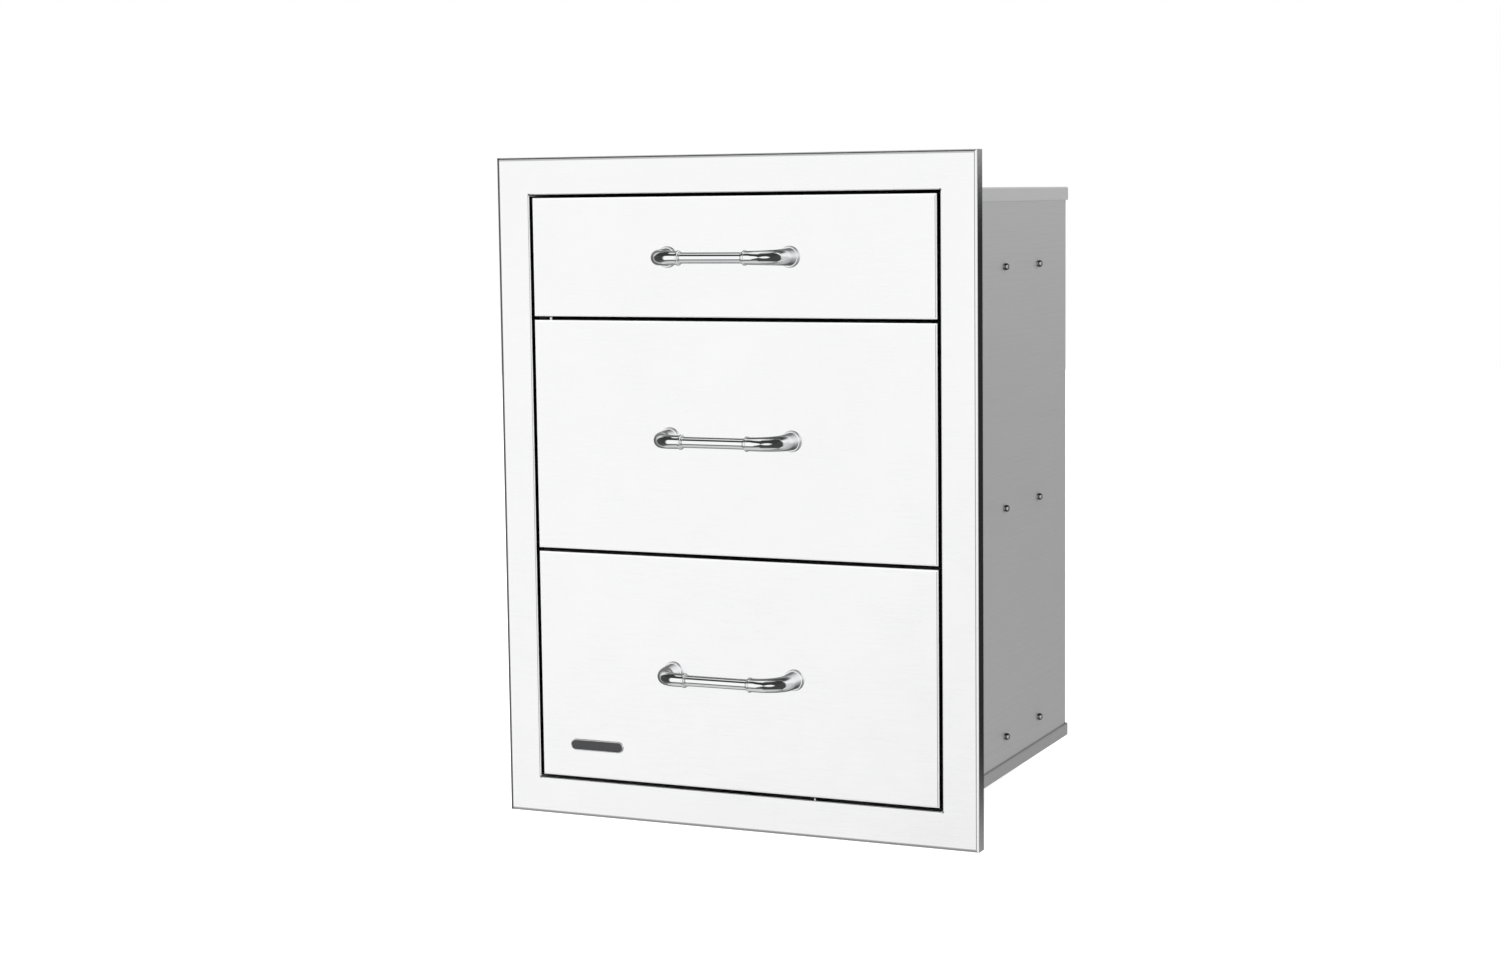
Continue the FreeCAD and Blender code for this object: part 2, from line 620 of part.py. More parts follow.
def tray(drawer):
    """Tray of a drawer: floor and hemmed sides folded from one sheet, and a back set in between.

    The back's flanges point backwards, so that nothing stands out into the tray.
    """
    edge, _, rise, height, _ = DRAWERS[drawer]
    name = f"{drawer}_tray"
    body = new_body(name)
    thick, bend = value("tray_sheet"), value("tray_bend")
    fold, hem = value("hem_radius"), value("tray_hem")
    half = value(TRAY_HALF) - thick / 2
    floor, tall = value(f"{edge} + {rise}") + thick / 2, value(height)
    wall = tall - thick - fold - bend
    section = new_sketch(body, f"{name}_section", "XZ_Plane", FRONT_BACK)
    strip(section, (-half - 2 * fold, floor + bend + wall - hem), 90, [
        ("run", hem), ("turn", fold, -180), ("run", wall), ("turn", bend, 90),
        ("run", 2 * (half - bend)),
        ("turn", bend, 90), ("run", wall), ("turn", fold, -180), ("run", hem),
    ], thick)
    pad(body, section, "tray_length")
    name = f"{drawer}_tray_back"
    body = new_body(name)
    section = new_sketch(body, f"{name}_section", "XY_Plane",
                         f"{edge} + {rise} + tray_bend + tray_sheet / 2")
    flange = value("tray_back_flange") - bend - thick / 2
    half = value(TRAY_HALF) - 1.5 * thick
    strip(section, (-half, value(f"{FRONT_BACK} + tray_length")), -90, [
        ("run", flange), ("turn", bend, 90), ("run", 2 * (half - bend)),
        ("turn", bend, 90), ("run", flange),
    ], thick)
    pad(body, section, f"{height} - tray_bend - tray_sheet / 2 - tray_back_drop")


def elbow_stations():
    """Cross-sections of an elbow from its collar to its foot: place, turn and radius of each."""
    radius, begin = value("elbow_radius"), value("bar_half")
    straight = value("handle_centres / 2") - radius - begin
    bend = radius * math.pi / 2
    foot = straight + bend + value("handle_reach - elbow_radius - foot_height")
    total = foot + value("foot_height")
    collar, width = value("collar_diameter / 2"), value("collar_width")
    slim, wide = value("elbow_diameter / 2"), value("elbow_foot_diameter / 2")
    base, edge = value("foot_diameter / 2"), value("foot_height / 3")
    stations = [(0, collar - width / 4), (width / 4, collar), (width, collar), (width * 1.25, slim)]
    for step in range(ELBOW_STEPS + 1):
        distance = straight + bend * step / ELBOW_STEPS
        stations.append((distance, slim + (wide - slim) * (distance / foot) ** SWELL))
    stations += [(foot, base - edge), (foot + edge, base), (total, base)]
    places = []
    for distance, girth in stations:
        turn = min(max((distance - straight) / radius, 0), math.pi / 2)
        x = begin + min(distance, straight) + radius * math.sin(turn)
        y = radius * (1 - math.cos(turn)) + max(distance - straight - bend, 0) - value("handle_reach")
        places.append((x, y, math.degrees(turn), girth))
    return places


def handle(drawer):
    """Bar, elbows and screws of a handle, in the middle of its drawer front."""
    edge, height, _, _, _ = DRAWERS[drawer]
    middle = f"{edge} + {height} / 2"
    name = f"{drawer}_handle_bar"
    body = new_body(name)
    bar = new_sketch(body, f"{name}_tube", "YZ_Plane", "0 - bar_half")
    circles(bar, "bar_diameter", [(f"{FACE} - handle_reach", middle)])
    pad(body, bar, "2 * bar_half")

    name = f"{drawer}_handle_elbows"
    body = new_body(name)
    sections = []
    for number, (x, y, turn, girth) in enumerate(elbow_stations()):
        section = new_sketch(body, f"{name}_section_{number}", "YZ_Plane")
        place = V(y + value(FACE), value(middle), x)
        section.AttachmentOffset = FreeCAD.Placement(place, FreeCAD.Rotation(V(0, 1, 0), turn))
        outline(section, polygon(girth, ELBOW_FACES))
        sections.append(section)
    loft = body.newObject("PartDesign::AdditiveLoft", f"{name}_bend")
    loft.Profile = sections[0]
    loft.Sections = sections[1:]
    loft.Ruled = True
    doc.recompute()
    bore = new_sketch(body, f"{name}_bore", "XZ_Plane", f"{FACE} - screw_bite - screw_play")
    small_rounds(bore, "screw_diameter + 2 * screw_play", [("handle_centres / 2", middle)])
    drilled = pocket(body, bore, f"screw_bite + screw_play + {PAST}")
    pair = body.newObject("PartDesign::Mirrored", f"{name}_pair")
    pair.Originals = [loft, drilled]
    middle_plane = [item for item in body.Origin.OriginFeatures if item.Role == "YZ_Plane"][0]
    pair.MirrorPlane = (middle_plane, [""])
    body.Tip = pair
    doc.recompute()

    name = f"{drawer}_handle_screws"
    body = new_body(name)
    centres = [("0 - handle_centres / 2", middle), ("handle_centres / 2", middle)]
    shanks = new_sketch(body, f"{name}_shanks", "XZ_Plane", f"{FACE} - screw_bite")
    small_rounds(shanks, "screw_diameter", centres)
    pad(body, shanks, "screw_bite + front_sheet")
    heads = new_sketch(body, f"{name}_heads", "XZ_Plane", f"{FACE} + front_sheet")
    hexagon = polygon(value("screw_head / 2"), 6)
    for x, z in centres:
        outline(heads, [(value(x) + across, value(z) + up) for across, up in hexagon])
    pad(body, heads, "screw_head_height")


face_frame()
for side in SIDES:
    side_panel(side)
pan("top_pan", f"{BOX_HEIGHT} - pan_flange", BOX_HEIGHT, f"{BOX_HEIGHT} - pan_flange")
pan("bottom_pan", "0", "0", "pan_flange")
back_panel()
for side, sign in SIDES.items():
    places = [place for drawer in DRAWERS for place in rivet_places(drawer, (0, 1, 2))]
    rivet_heads(f"{side}_slide_rivets", places, f"{sign} * ({BOX_HALF} + box_sheet)", sign)
for drawer in DRAWERS:
    for side, sign in SIDES.items():
        for kind in ("cabinet", "middle", "drawer"):
            rail(drawer, side, kind)
    for kind in ("outer", "inner"):
        cages(drawer, kind)
    front(drawer)
    tray(drawer)
    for side, sign in SIDES.items():
        rivet_heads(f"{drawer}_{side}_tray_rivets", rivet_places(drawer, (0, 2)),
                    f"{sign} * ({TRAY_HALF} - tray_sheet)", -sign)
    handle(drawer)

doc.recompute()
for thing in doc.Objects:
    if {"Invalid", "Error"} & set(thing.State):
        raise RuntimeError(f"{thing.Name} failed: {thing.State}")
for thing in parts:
    if thing.Shape.isNull() or not thing.Shape.isValid():
        raise RuntimeError(f"{thing.Label} has no valid shape")
os.makedirs("parts", exist_ok=True)
for thing in parts:
    thing.Shape.exportStep(f"parts/{thing.Label}.step")
print(len(parts), "sub-parts")
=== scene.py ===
"""Looks of the built-in drawer unit for an outdoor kitchen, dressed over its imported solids.

Metres, in the frame of the solids: +X to the right of a person facing the unit, +Y back into the
island, +Z up. Y = 0 is the wall plane and Z = 0 the underside of the box.
"""
import json
import math

import bmesh
import bpy
from mathutils import Matrix, Vector

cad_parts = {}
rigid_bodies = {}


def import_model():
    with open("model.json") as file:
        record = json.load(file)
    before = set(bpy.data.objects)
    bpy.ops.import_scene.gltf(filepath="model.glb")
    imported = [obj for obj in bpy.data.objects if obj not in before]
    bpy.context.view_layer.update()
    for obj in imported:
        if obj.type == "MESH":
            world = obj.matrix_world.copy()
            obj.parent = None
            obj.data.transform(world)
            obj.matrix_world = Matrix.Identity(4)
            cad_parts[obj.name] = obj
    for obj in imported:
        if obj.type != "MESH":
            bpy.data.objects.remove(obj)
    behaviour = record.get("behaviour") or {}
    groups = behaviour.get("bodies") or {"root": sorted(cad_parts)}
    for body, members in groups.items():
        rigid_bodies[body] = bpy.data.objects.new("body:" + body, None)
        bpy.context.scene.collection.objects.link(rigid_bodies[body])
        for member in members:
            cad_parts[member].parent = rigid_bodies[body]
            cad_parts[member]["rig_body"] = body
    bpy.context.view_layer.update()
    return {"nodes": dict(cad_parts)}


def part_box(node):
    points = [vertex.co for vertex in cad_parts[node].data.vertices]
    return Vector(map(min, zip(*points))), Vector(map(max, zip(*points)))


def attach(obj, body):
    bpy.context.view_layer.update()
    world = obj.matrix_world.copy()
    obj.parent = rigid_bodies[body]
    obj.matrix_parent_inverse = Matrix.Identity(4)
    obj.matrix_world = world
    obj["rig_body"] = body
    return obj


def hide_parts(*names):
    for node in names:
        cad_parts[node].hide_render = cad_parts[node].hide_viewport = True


MM = 0.001
DRAWERS = ("top", "middle", "bottom")
SIDES = {"left": -1, "right": 1}
WHITE = (1, 1, 1)

# The photograph's camera: place in metres, angles in degrees, lens and sensor in millimetres
CAMERA_PLACE = Vector((0.91896, -2.04384, 0.51615))
CAMERA_YAW = math.radians(23.936)
CAMERA_PITCH = math.radians(6.196)
CAMERA_ROLL = math.radians(-0.705)
CAMERA_LENS = 62.894
CAMERA_SENSOR = 36

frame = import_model()
nodes = frame["nodes"]
body_of = {name: thing["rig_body"] for name, thing in nodes.items()}
slot_of = {name: thing.material_slots[0].material.name for name, thing in nodes.items()}


# Materials

def new_material(name):
    """Empty material with its node tree and its shader."""
    made = bpy.data.materials.new(name)
    made.use_nodes = True
    return made, made.node_tree, made.node_tree.nodes["Principled BSDF"]


def noise(tree, scale, stretch=(1, 1, 1), detail=4.0):
    """Noise fixed to the object, drawn out along an axis by a small stretch value there."""
    place = tree.nodes.new("ShaderNodeTexCoord")
    mapping = tree.nodes.new("ShaderNodeMapping")
    mapping.inputs["Scale"].default_value = stretch
    texture = tree.nodes.new("ShaderNodeTexNoise")
    texture.inputs["Scale"].default_value = scale
    texture.inputs["Detail"].default_value = detail
    tree.links.new(place.outputs["Object"], mapping.inputs["Vector"])
    tree.links.new(mapping.outputs["Vector"], texture.inputs["Vector"])
    return texture.outputs["Fac"]


def between(tree, source, low, high, start=0.3, end=0.7):
    """Source from start to end becomes a value from low to high."""
    node = tree.nodes.new("ShaderNodeMapRange")
    node.inputs["From Min"].default_value = start
    node.inputs["From Max"].default_value = end
    node.inputs["To Min"].default_value = low
    node.inputs["To Max"].default_value = high
    tree.links.new(source, node.inputs["Value"])
    return node.outputs["Result"]


def blend_colours(tree, share, first, second):
    """Colour that goes from first to second with the share. Each is a socket or three numbers."""
    node = tree.nodes.new("ShaderNodeMix")
    node.data_type = "RGBA"
    tree.links.new(share, node.inputs[0])
    first_colour, second_colour, blended = 6, 7, 2
    for socket, colour in ((first_colour, first), (second_colour, second)):
        if isinstance(colour, bpy.types.NodeSocket):
            tree.links.new(colour, node.inputs[socket])
        else:
            node.inputs[socket].default_value = (*colour, 1)
    return node.outputs[blended]


def shade(colour, share):
    """Colour with each of its parts multiplied by the share."""
    return [share * part for part in colour]


def ramp(tree, source, stops):
    """Value read off a list of (place, value) stops, eased between them."""
    node = tree.nodes.new("ShaderNodeValToRGB")
    node.color_ramp.interpolation = "EASE"
    elements = node.color_ramp.elements
    while len(elements) < len(stops):
        elements.new(0.5)
    for element, (place, level) in zip(elements, stops):
        element.position = place
        element.color = (level, level, level, 1)
    tree.links.new(source, node.inputs["Fac"])
    return node.outputs["Color"]


def mathematics(tree, operation, *values):
    """One step of arithmetic on sockets or numbers."""
    node = tree.nodes.new("ShaderNodeMath")
    node.operation = operation
    for index, item in enumerate(values):
        if isinstance(item, bpy.types.NodeSocket):
            tree.links.new(item, node.inputs[index])
        else:
            node.inputs[index].default_value = item
    return node.outputs[0]


# The photographer's room as metal shows it. Bearings are degrees from straight in front of the
# unit towards its right, and heights run from -1, straight down, to 1, straight up. The edges of
# the soft boxes are heights from 0 to 1, where 0.5 is level.
ROOM = {
    "walls": [(-180, 1.0), (-108, 0.9), (-99, 0.06), (-57, 0.04), (-45, 1.04), (10, 1.04),
              (13, 0.55), (16, 1.04), (48, 1.04), (60, 0.05), (92, 0.05), (102, 1.0), (180, 1.0)],
    "lower_edge": [(-180, 0.28), (-60, 0.24), (-20, 0.24), (-8, 0.33), (4, 0.41), (12, 0.47),
                   (18, 0.44), (28, 0.39), (40, 0.39), (50, 0.46), (56, 0.54), (90, 0.33),
                   (140, 0.28), (180, 0.28)],
    "upper_edge": [(-180, 0.62), (-60, 0.72), (-30, 0.785), (-22, 0.745), (-4, 0.72), (4, 0.68),
                   (12, 0.60), (18, 0.64), (28, 0.69), (40, 0.69), (50, 0.62), (56, 0.56),
                   (95, 0.80), (105, 0.96), (130, 0.9), (145, 0.62), (180, 0.62)],
    "front": [(-1, 0.65), (-0.74, 0.62), (-0.66, 0.14), (-0.56, 0.08), (0.5, 0.03), (0.86, 0.03),
              (0.90, 0.85), (1, 0.9)],
    "right": [(-1, 0.6), (-0.86, 0.55), (-0.76, 0.05), (0.90, 0.03), (0.97, 0.5), (1, 0.6)],
    "behind": [(-1, 0.4), (-0.6, 0.3), (0, 0.45), (0.5, 0.6), (0.84, 0.65), (0.9, 0.85), (1, 0.9)],
    "to_the_right": [(0, 0), (10, 1), (130, 1), (140, 0)],
    "to_the_rear": [(-180, 1), (-150, 1), (-130, 0), (130, 0), (150, 1), (180, 1)],
}
LOWER_SOFTNESS, UPPER_SOFTNESS = 0.11, 0.02

# What brushed and rolled sheets see otherwise: each is how much, by bearing or by height
SHEETS = {
    "gap_bearing": [(134, 0), (140, 1), (170, 1), (176, 0)],
    "gap_height": [(-0.27, 0), (-0.21, 1), (-0.005, 1), (0.03, 0)],
    "in_front": [(-180, 0), (-105, 0), (-85, 1), (85, 1), (105, 0), (180, 0)],
    "ceiling_and_floor": [(-1, 0.7), (-0.86, 0.7), (-0.76, 0), (0.6, 0), (0.72, 0.95), (1, 0.95)],
    "above_the_boxes": [(-1, 0), (0.1, 0), (0.25, 0.85), (0.55, 0.85), (0.65, 0), (1, 0)],
    "fill": [(-180, 0), (48, 0), (56, 0.4), (98, 0.4), (106, 0), (180, 0)],
}


class Direction:
    """Bearing and height of a direction, with ramps to read values off them."""

    def __init__(self, tree, direction):
        parts = tree.nodes.new("ShaderNodeSeparateXYZ")
        tree.links.new(direction, parts.inputs[0])
        east, north, height = parts.outputs
        south = mathematics(tree, "MULTIPLY", north, -1.0)
        bearing = mathematics(tree, "ARCTAN2", east, south)
        self.tree = tree
        self.around = mathematics(tree, "MULTIPLY_ADD", bearing, 0.5 / math.pi, 0.5)
        self.level = mathematics(tree, "MULTIPLY_ADD", height, 0.5, 0.5)

    def by_bearing(self, stops):
        """Value read off stops of (bearing, value)."""
        places = [(0.5 + bearing / 360, value) for bearing, value in stops]
        return ramp(self.tree, self.around, places)

    def by_height(self, stops):
        """Value read off stops of (height, value)."""
        places = [(0.5 + height / 2, value) for height, value in stops]
        return ramp(self.tree, self.level, places)


def room(tree, direction):
    """Brightness of the room in a direction: soft boxes, dark gaps, ceiling and floor."""
    lower = direction.by_bearing(ROOM["lower_edge"])
    upper = direction.by_bearing(ROOM["upper_edge"])
    over = mathematics(tree, "SUBTRACT", direction.level, lower)
    under = mathematics(tree, "SUBTRACT", upper, direction.level)
    box = mathematics(tree, "MULTIPLY", between(tree, over, 0, 1, 0, LOWER_SOFTNESS),
                      between(tree, under, 0, 1, 0, UPPER_SOFTNESS))
    rest = blend_colours(tree, direction.by_bearing(ROOM["to_the_right"]),
                         direction.by_height(ROOM["front"]), direction.by_height(ROOM["right"]))
    rest = blend_colours(tree, direction.by_bearing(ROOM["to_the_rear"]), rest,
                         direction.by_height(ROOM["behind"]))
    return blend_colours(tree, box, rest, direction.by_bearing(ROOM["walls"]))


def bumps(tree, shader, height, distance):
    """Fine relief on the shader."""
    node = tree.nodes.new("ShaderNodeBump")
    node.inputs["Distance"].default_value = distance
    tree.links.new(height, node.inputs["Height"])
    tree.links.new(node.outputs["Normal"], shader.inputs["Normal"])


def normal_parts(tree):
    """The surface's own direction, as its parts along X, against Y and along Z."""
    parts = tree.nodes.new("ShaderNodeSeparateXYZ")
    place = tree.nodes.new("ShaderNodeTexCoord")
    tree.links.new(place.outputs["Normal"], parts.inputs[0])
    return (parts.outputs["X"], mathematics(tree, "MULTIPLY", parts.outputs["Y"], -1.0),
            parts.outputs["Z"])


# The face frame's outline of painted shade: its width, the softness of its inner edge, and how much
# the painted shade darkens the left edge, and the upper and lower ones
RIM, RIM_SOFTNESS = 2.8 * MM, 0.3 * MM
SIDE_SHADE, END_SHADE = 0.88, 0.45


def painted_outline_shade(tree, right, ahead):
    """Share of painted shade along the face frame's left, upper and lower edges."""
    place = tree.nodes.new("ShaderNodeTexCoord")
    parts = tree.nodes.new("ShaderNodeSeparateXYZ")
    tree.links.new(place.outputs["Object"], parts.inputs[0])
    low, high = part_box("face_frame")
    middle, half = (low.z + high.z) / 2, (high.z - low.z) / 2
    left = mathematics(tree, "MULTIPLY", parts.outputs["X"], -1.0)
    away = mathematics(tree, "ABSOLUTE", mathematics(tree, "SUBTRACT", parts.outputs["Z"], middle))
    beside = between(tree, left, 0, SIDE_SHADE, high.x - RIM - RIM_SOFTNESS, high.x - RIM)
    above = between(tree, away, 0, END_SHADE, half - RIM - RIM_SOFTNESS, half - RIM)
    outer = mathematics(tree, "MAXIMUM", beside, above)
    bent = ramp(tree, ahead, [(0, 0), (0.1, 0), (0.25, 1), (1, 1)])
    elsewhere = ramp(tree, right, [(0, 1), (0.05, 1), (0.1, 0), (1, 0)])
    return mathematics(tree, "MULTIPLY", mathematics(tree, "MULTIPLY", outer, bent), elsewhere)


# How the bends of the facing sheets differ from their faces, by the surface's own direction:
# painted shade in a dark line along the bend and on faces turned to the right, a painted highlight
# where the sheet is made less metallic so that it shows pale, and a polished part
BEND_PAINTED_SHADE = [(0, 0), (0.03, 0), (0.1, 1), (0.3, 1), (0.4, 0), (0.88, 0), (0.95, 1)]
BEND_POLISH = [(0, 1), (0.9, 1), (0.97, 0.35), (1, 0.35)]
ALL_BENDS_PAINTED_PALE = [(0, 1), (0.5, 1), (0.62, 0.1), (0.985, 0.1), (0.995, 1), (1, 1)]
RIGHT_BENDS_PAINTED_PALE = [(0, 1), (0.12, 1), (0.2, 0.1), (0.75, 0.1), (0.88, 1), (1, 1)]
SHEET_RELIEF = 0.02 * MM


def brushed_steel(name, colour, roughness, grain=(0.02, 1, 1), anisotropic=0.6, bends=None):
    """Stainless sheet with fine brushed lines along one axis, and faint clouds in its polish.

    The bends of the facing sheets get a line of painted shade, and are painted pale as a highlight:
    all of them, or those to the right alone.
    """
    made, tree, shader = new_material(name)
    lines = noise(tree, 2600, grain, 6)
    streaks = noise(tree, 420, grain, 3)
    clouds = noise(tree, 5, (1, 1, 0.35), 2)
    smudges = noise(tree, 34, (1, 1, 1), 5)
    tone = blend_colours(tree, between(tree, clouds, 0, 1), colour, shade(colour, 0.97))
    tone = blend_colours(tree, between(tree, streaks, 0, 0.3), tone, shade(colour, 0.975))
    fine = between(tree, lines, roughness * 0.86, roughness * 1.1)
    gloss = mathematics(tree, "ADD", fine, between(tree, smudges, -0.01, 0.015))
    shader.inputs["Metallic"].default_value = 1
    if bends:
        right, ahead, _ = normal_parts(tree)
        # Painted shade: a dark line on bends turned a little to the right, and on faces turned to
        # the right
        line = mathematics(tree, "MULTIPLY", ramp(tree, right, BEND_PAINTED_SHADE), 0.85)
        tone = blend_colours(tree, line, tone, (0.22, 0.22, 0.23))
        gloss = mathematics(tree, "MULTIPLY", gloss, ramp(tree, right, BEND_POLISH))
        # Painted highlight: bends made less metallic so that they show pale
        if bends == "all":
            painted_pale_bends = ramp(tree, ahead, ALL_BENDS_PAINTED_PALE)
        else:
            # Painted shade: the face frame's left, upper and lower edges darkened almost to black
            tone = blend_colours(tree, painted_outline_shade(tree, right, ahead), tone, (0.03, 0.03, 0.03))
            painted_pale_bends = ramp(tree, right, RIGHT_BENDS_PAINTED_PALE)
        tree.links.new(painted_pale_bends, shader.inputs["Metallic"])
    tree.links.new(tone, shader.inputs["Base Color"])
    tree.links.new(gloss, shader.inputs["Roughness"])
    shader.inputs["Anisotropic"].default_value = anisotropic
    tangent = tree.nodes.new("ShaderNodeTangent")
    tangent.direction_type = "RADIAL"
    tangent.axis = "Z"
    tree.links.new(tangent.outputs["Tangent"], shader.inputs["Tangent"])
    bumps(tree, shader, lines, SHEET_RELIEF)
    return made


def dull_metal(name, colour, roughness, spangle, contrast):
    """Mill-finished or plated metal: patches of slightly different tone and gloss."""
    made, tree, shader = new_material(name)
    place = tree.nodes.new("ShaderNodeTexCoord")
    crystals = tree.nodes.new("ShaderNodeTexVoronoi")
    crystals.inputs["Scale"].default_value = spangle
    tree.links.new(place.outputs["Object"], crystals.inputs["Vector"])
    separate = tree.nodes.new("ShaderNodeSeparateColor")
    tree.links.new(crystals.outputs["Color"], separate.inputs[0])
    clouds = noise(tree, 9, (1, 1, 1), 5)
    dark = shade(colour, 1 - contrast)
    tone = blend_colours(tree, separate.outputs[0], colour, dark)
    tone = blend_colours(tree, between(tree, clouds, 0, 0.6), tone, dark)
    tree.links.new(tone, shader.inputs["Base Color"])
    gloss = between(tree, separate.outputs[1], roughness * 0.93, roughness * 1.07, 0, 1)
    tree.links.new(gloss, shader.inputs["Roughness"])
    shader.inputs["Metallic"].default_value = 1
    bumps(tree, shader, noise(tree, 1500, (1, 1, 1), 3), 0.01 * MM)
    return made


# Height of the pans' folded edges on the box's sides, and of the dark line of painted shade along
# the seam above the lower one
PAN_EDGE, SEAM = 12.1 * MM, 1.2 * MM


def box_sheet(name, colour, roughness):
    """Dull rolled steel of the box, with painted light on its top edge, painted shade on its lower
    edge, and a dark line of painted shade above that edge.
    """
    made, tree, shader = new_material(name)
    place = tree.nodes.new("ShaderNodeTexCoord")
    parts = tree.nodes.new("ShaderNodeSeparateXYZ")
    tree.links.new(place.outputs["Object"], parts.inputs[0])
    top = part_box("top_pan")[1].z
    share_of_height = mathematics(tree, "DIVIDE", parts.outputs["Z"], top)
    edge, line = PAN_EDGE / top, SEAM / top
    # Painted shade: the lower edge a little darker, and a near-black line where the lower pan's
    # edge meets the side
    seam_painted_shade = ramp(tree, share_of_height, [
        (0, 0.2), (edge, 0.2), (edge + line / 4, 0.9), (edge + line, 0.9),
        (edge + 1.25 * line, 0), (1, 0)])
    # Painted light: the top edge paler
    top_edge_painted_light = ramp(tree, share_of_height, [(0, 0), (1 - edge - line / 2, 0), (1 - edge, 1), (1, 1)])
    rolled = noise(tree, 700, (1, 0.02, 1), 4)
    mill = noise(tree, 1800, (1, 1, 1), 3)
    tone = blend_colours(tree, between(tree, rolled, 0, 1), colour, shade(colour, 0.95))
    tone = blend_colours(tree, between(tree, mill, 0, 0.4), tone, shade(colour, 0.93))
    tone = blend_colours(tree, top_edge_painted_light, tone, shade(colour, 1.09))
    tone = blend_colours(tree, seam_painted_shade, tone, (0.02, 0.02, 0.02))
    tree.links.new(tone, shader.inputs["Base Color"])
    gloss = between(tree, rolled, roughness * 0.9, roughness * 1.1)
    tree.links.new(gloss, shader.inputs["Roughness"])
    shader.inputs["Metallic"].default_value = 0.4
    bumps(tree, shader, mill, 0.006 * MM)
    return made


# Painted shade on chrome: how much darker its colour is made, from where it faces the view to where
# it is seen edge-on
CHROME_PAINTED_EDGE_SHADE = [(0, 0), (0.52, 0), (0.74, 0.88), (1, 0.88)]


def chrome(name):
    """Mirror chrome with faint wiping marks, and painted shade that darkens its colour towards its
    edges.

    It has no roughness, so the studio shows it its full contrast.
    """
    made, tree, shader = new_material(name)
    marks = noise(tree, 160, (0.3, 1, 1), 5)
    tone = blend_colours(tree, between(tree, marks, 0, 1), (0.95, 0.955, 0.96),
                         (0.92, 0.925, 0.935))
    # Painted shade: the colour goes near black where the chrome is seen edge-on
    weight = tree.nodes.new("ShaderNodeLayerWeight")
    edges = ramp(tree, weight.outputs["Facing"], CHROME_PAINTED_EDGE_SHADE)
    tone = blend_colours(tree, edges, tone, (0.02, 0.02, 0.021))
    tree.links.new(tone, shader.inputs["Base Color"])
    shader.inputs["Metallic"].default_value = 1
    shader.inputs["Roughness"].default_value = 0
    shader.inputs["Specular Tint"].default_value = (0.6, 0.6, 0.6, 1)
    bumps(tree, shader, marks, 0.002 * MM)
    return made


def blind_end(name):
    """Crimped steel of a rivet's blind end, coloured near black as painted shade, with a painted
    highlight between its barrel and its mouth.
    """
    made, tree, shader = new_material(name)
    marks = noise(tree, 1500, (1, 1, 1), 4)
    across, _, up = normal_parts(tree)
    level = ramp(tree, mathematics(tree, "ABSOLUTE", up), [(0, 1), (0.3, 1), (0.55, 0), (1, 0)])
    shoulder_painted_highlight = ramp(tree, mathematics(tree, "ABSOLUTE", across), [
        (0, 0.2), (0.12, 0.2), (0.35, 1), (0.75, 1), (0.9, 0.1), (1, 0.1)])
    painted_highlight = mathematics(tree, "MULTIPLY", level, shoulder_painted_highlight)
    # Painted shade: the whole end coloured near black
    tone = blend_colours(tree, between(tree, marks, 0, 1), (0.035, 0.035, 0.036),
                         (0.05, 0.05, 0.05))
    # Painted highlight where the end faces sideways, between its barrel and its mouth
    tone = blend_colours(tree, painted_highlight, tone, (0.62, 0.62, 0.63))
    tree.links.new(tone, shader.inputs["Base Color"])
    tree.links.new(between(tree, marks, 0.25, 0.35), shader.inputs["Roughness"])
    shader.inputs["Metallic"].default_value = 1
    bumps(tree, shader, marks, 0.01 * MM)
    return made


def plastic(name, colour, roughness):
    """Moulded nylon, or enamel, with a fine even grain."""
    made, tree, shader = new_material(name)
    grain = noise(tree, 1800, (1, 1, 1), 2)
    clouds = noise(tree, 60, (1, 1, 1), 3)
    tone = blend_colours(tree, between(tree, clouds, 0, 1), colour, shade(colour, 0.88))
    tree.links.new(tone, shader.inputs["Base Color"])
    gloss = between(tree, grain, roughness * 0.9, roughness * 1.1)
    tree.links.new(gloss, shader.inputs["Roughness"])
    bumps(tree, shader, grain, 0.02 * MM)
    return made


materials = {
    "frame_steel": brushed_steel("frame_steel", (0.985, 0.985, 0.99), 0.25, bends="right"),
    "front_steel": brushed_steel("front_steel", (0.99, 0.99, 0.995), 0.25, bends="all"),
    "box_steel": box_sheet("box_steel", (0.52, 0.52, 0.52), 0.45),
    "tray_steel": brushed_steel("tray_steel", (0.72, 0.725, 0.735), 0.42, (1, 0.02, 1), 0.3),
    "slide_steel": dull_metal("slide_steel", (0.62, 0.65, 0.68), 0.3, 260, 0.1),
    "cage_steel": dull_metal("cage_steel", (0.50, 0.47, 0.40), 0.35, 320, 0.08),
    "handle_chrome": chrome("handle_chrome"),
    "rivet_steel": dull_metal("rivet_steel", (0.62, 0.62, 0.63), 0.12, 600, 0.1),
    "screw_steel": dull_metal("screw_steel", (0.60, 0.61, 0.62), 0.3, 500, 0.1),
}
for name, thing in nodes.items():
    thing.material_slots[0].material = materials[slot_of[name]]


# Meshes

# Least angles, in degrees, of the edges that stay sharp on sheets, balls and turned forms
SHARP_SHEET, SHARP_BALL, SHARP_TURNED = 30, 40, 50
# Points closer than this are one, in a piece and in a CAD node
WELD, CAD_WELD = 1e-6, 1e-5
SMALLEST_RADIUS = 1e-5
# Sides of a handle's tube, and of small turned forms
ROUND, SMALL_ROUND = 48, 24


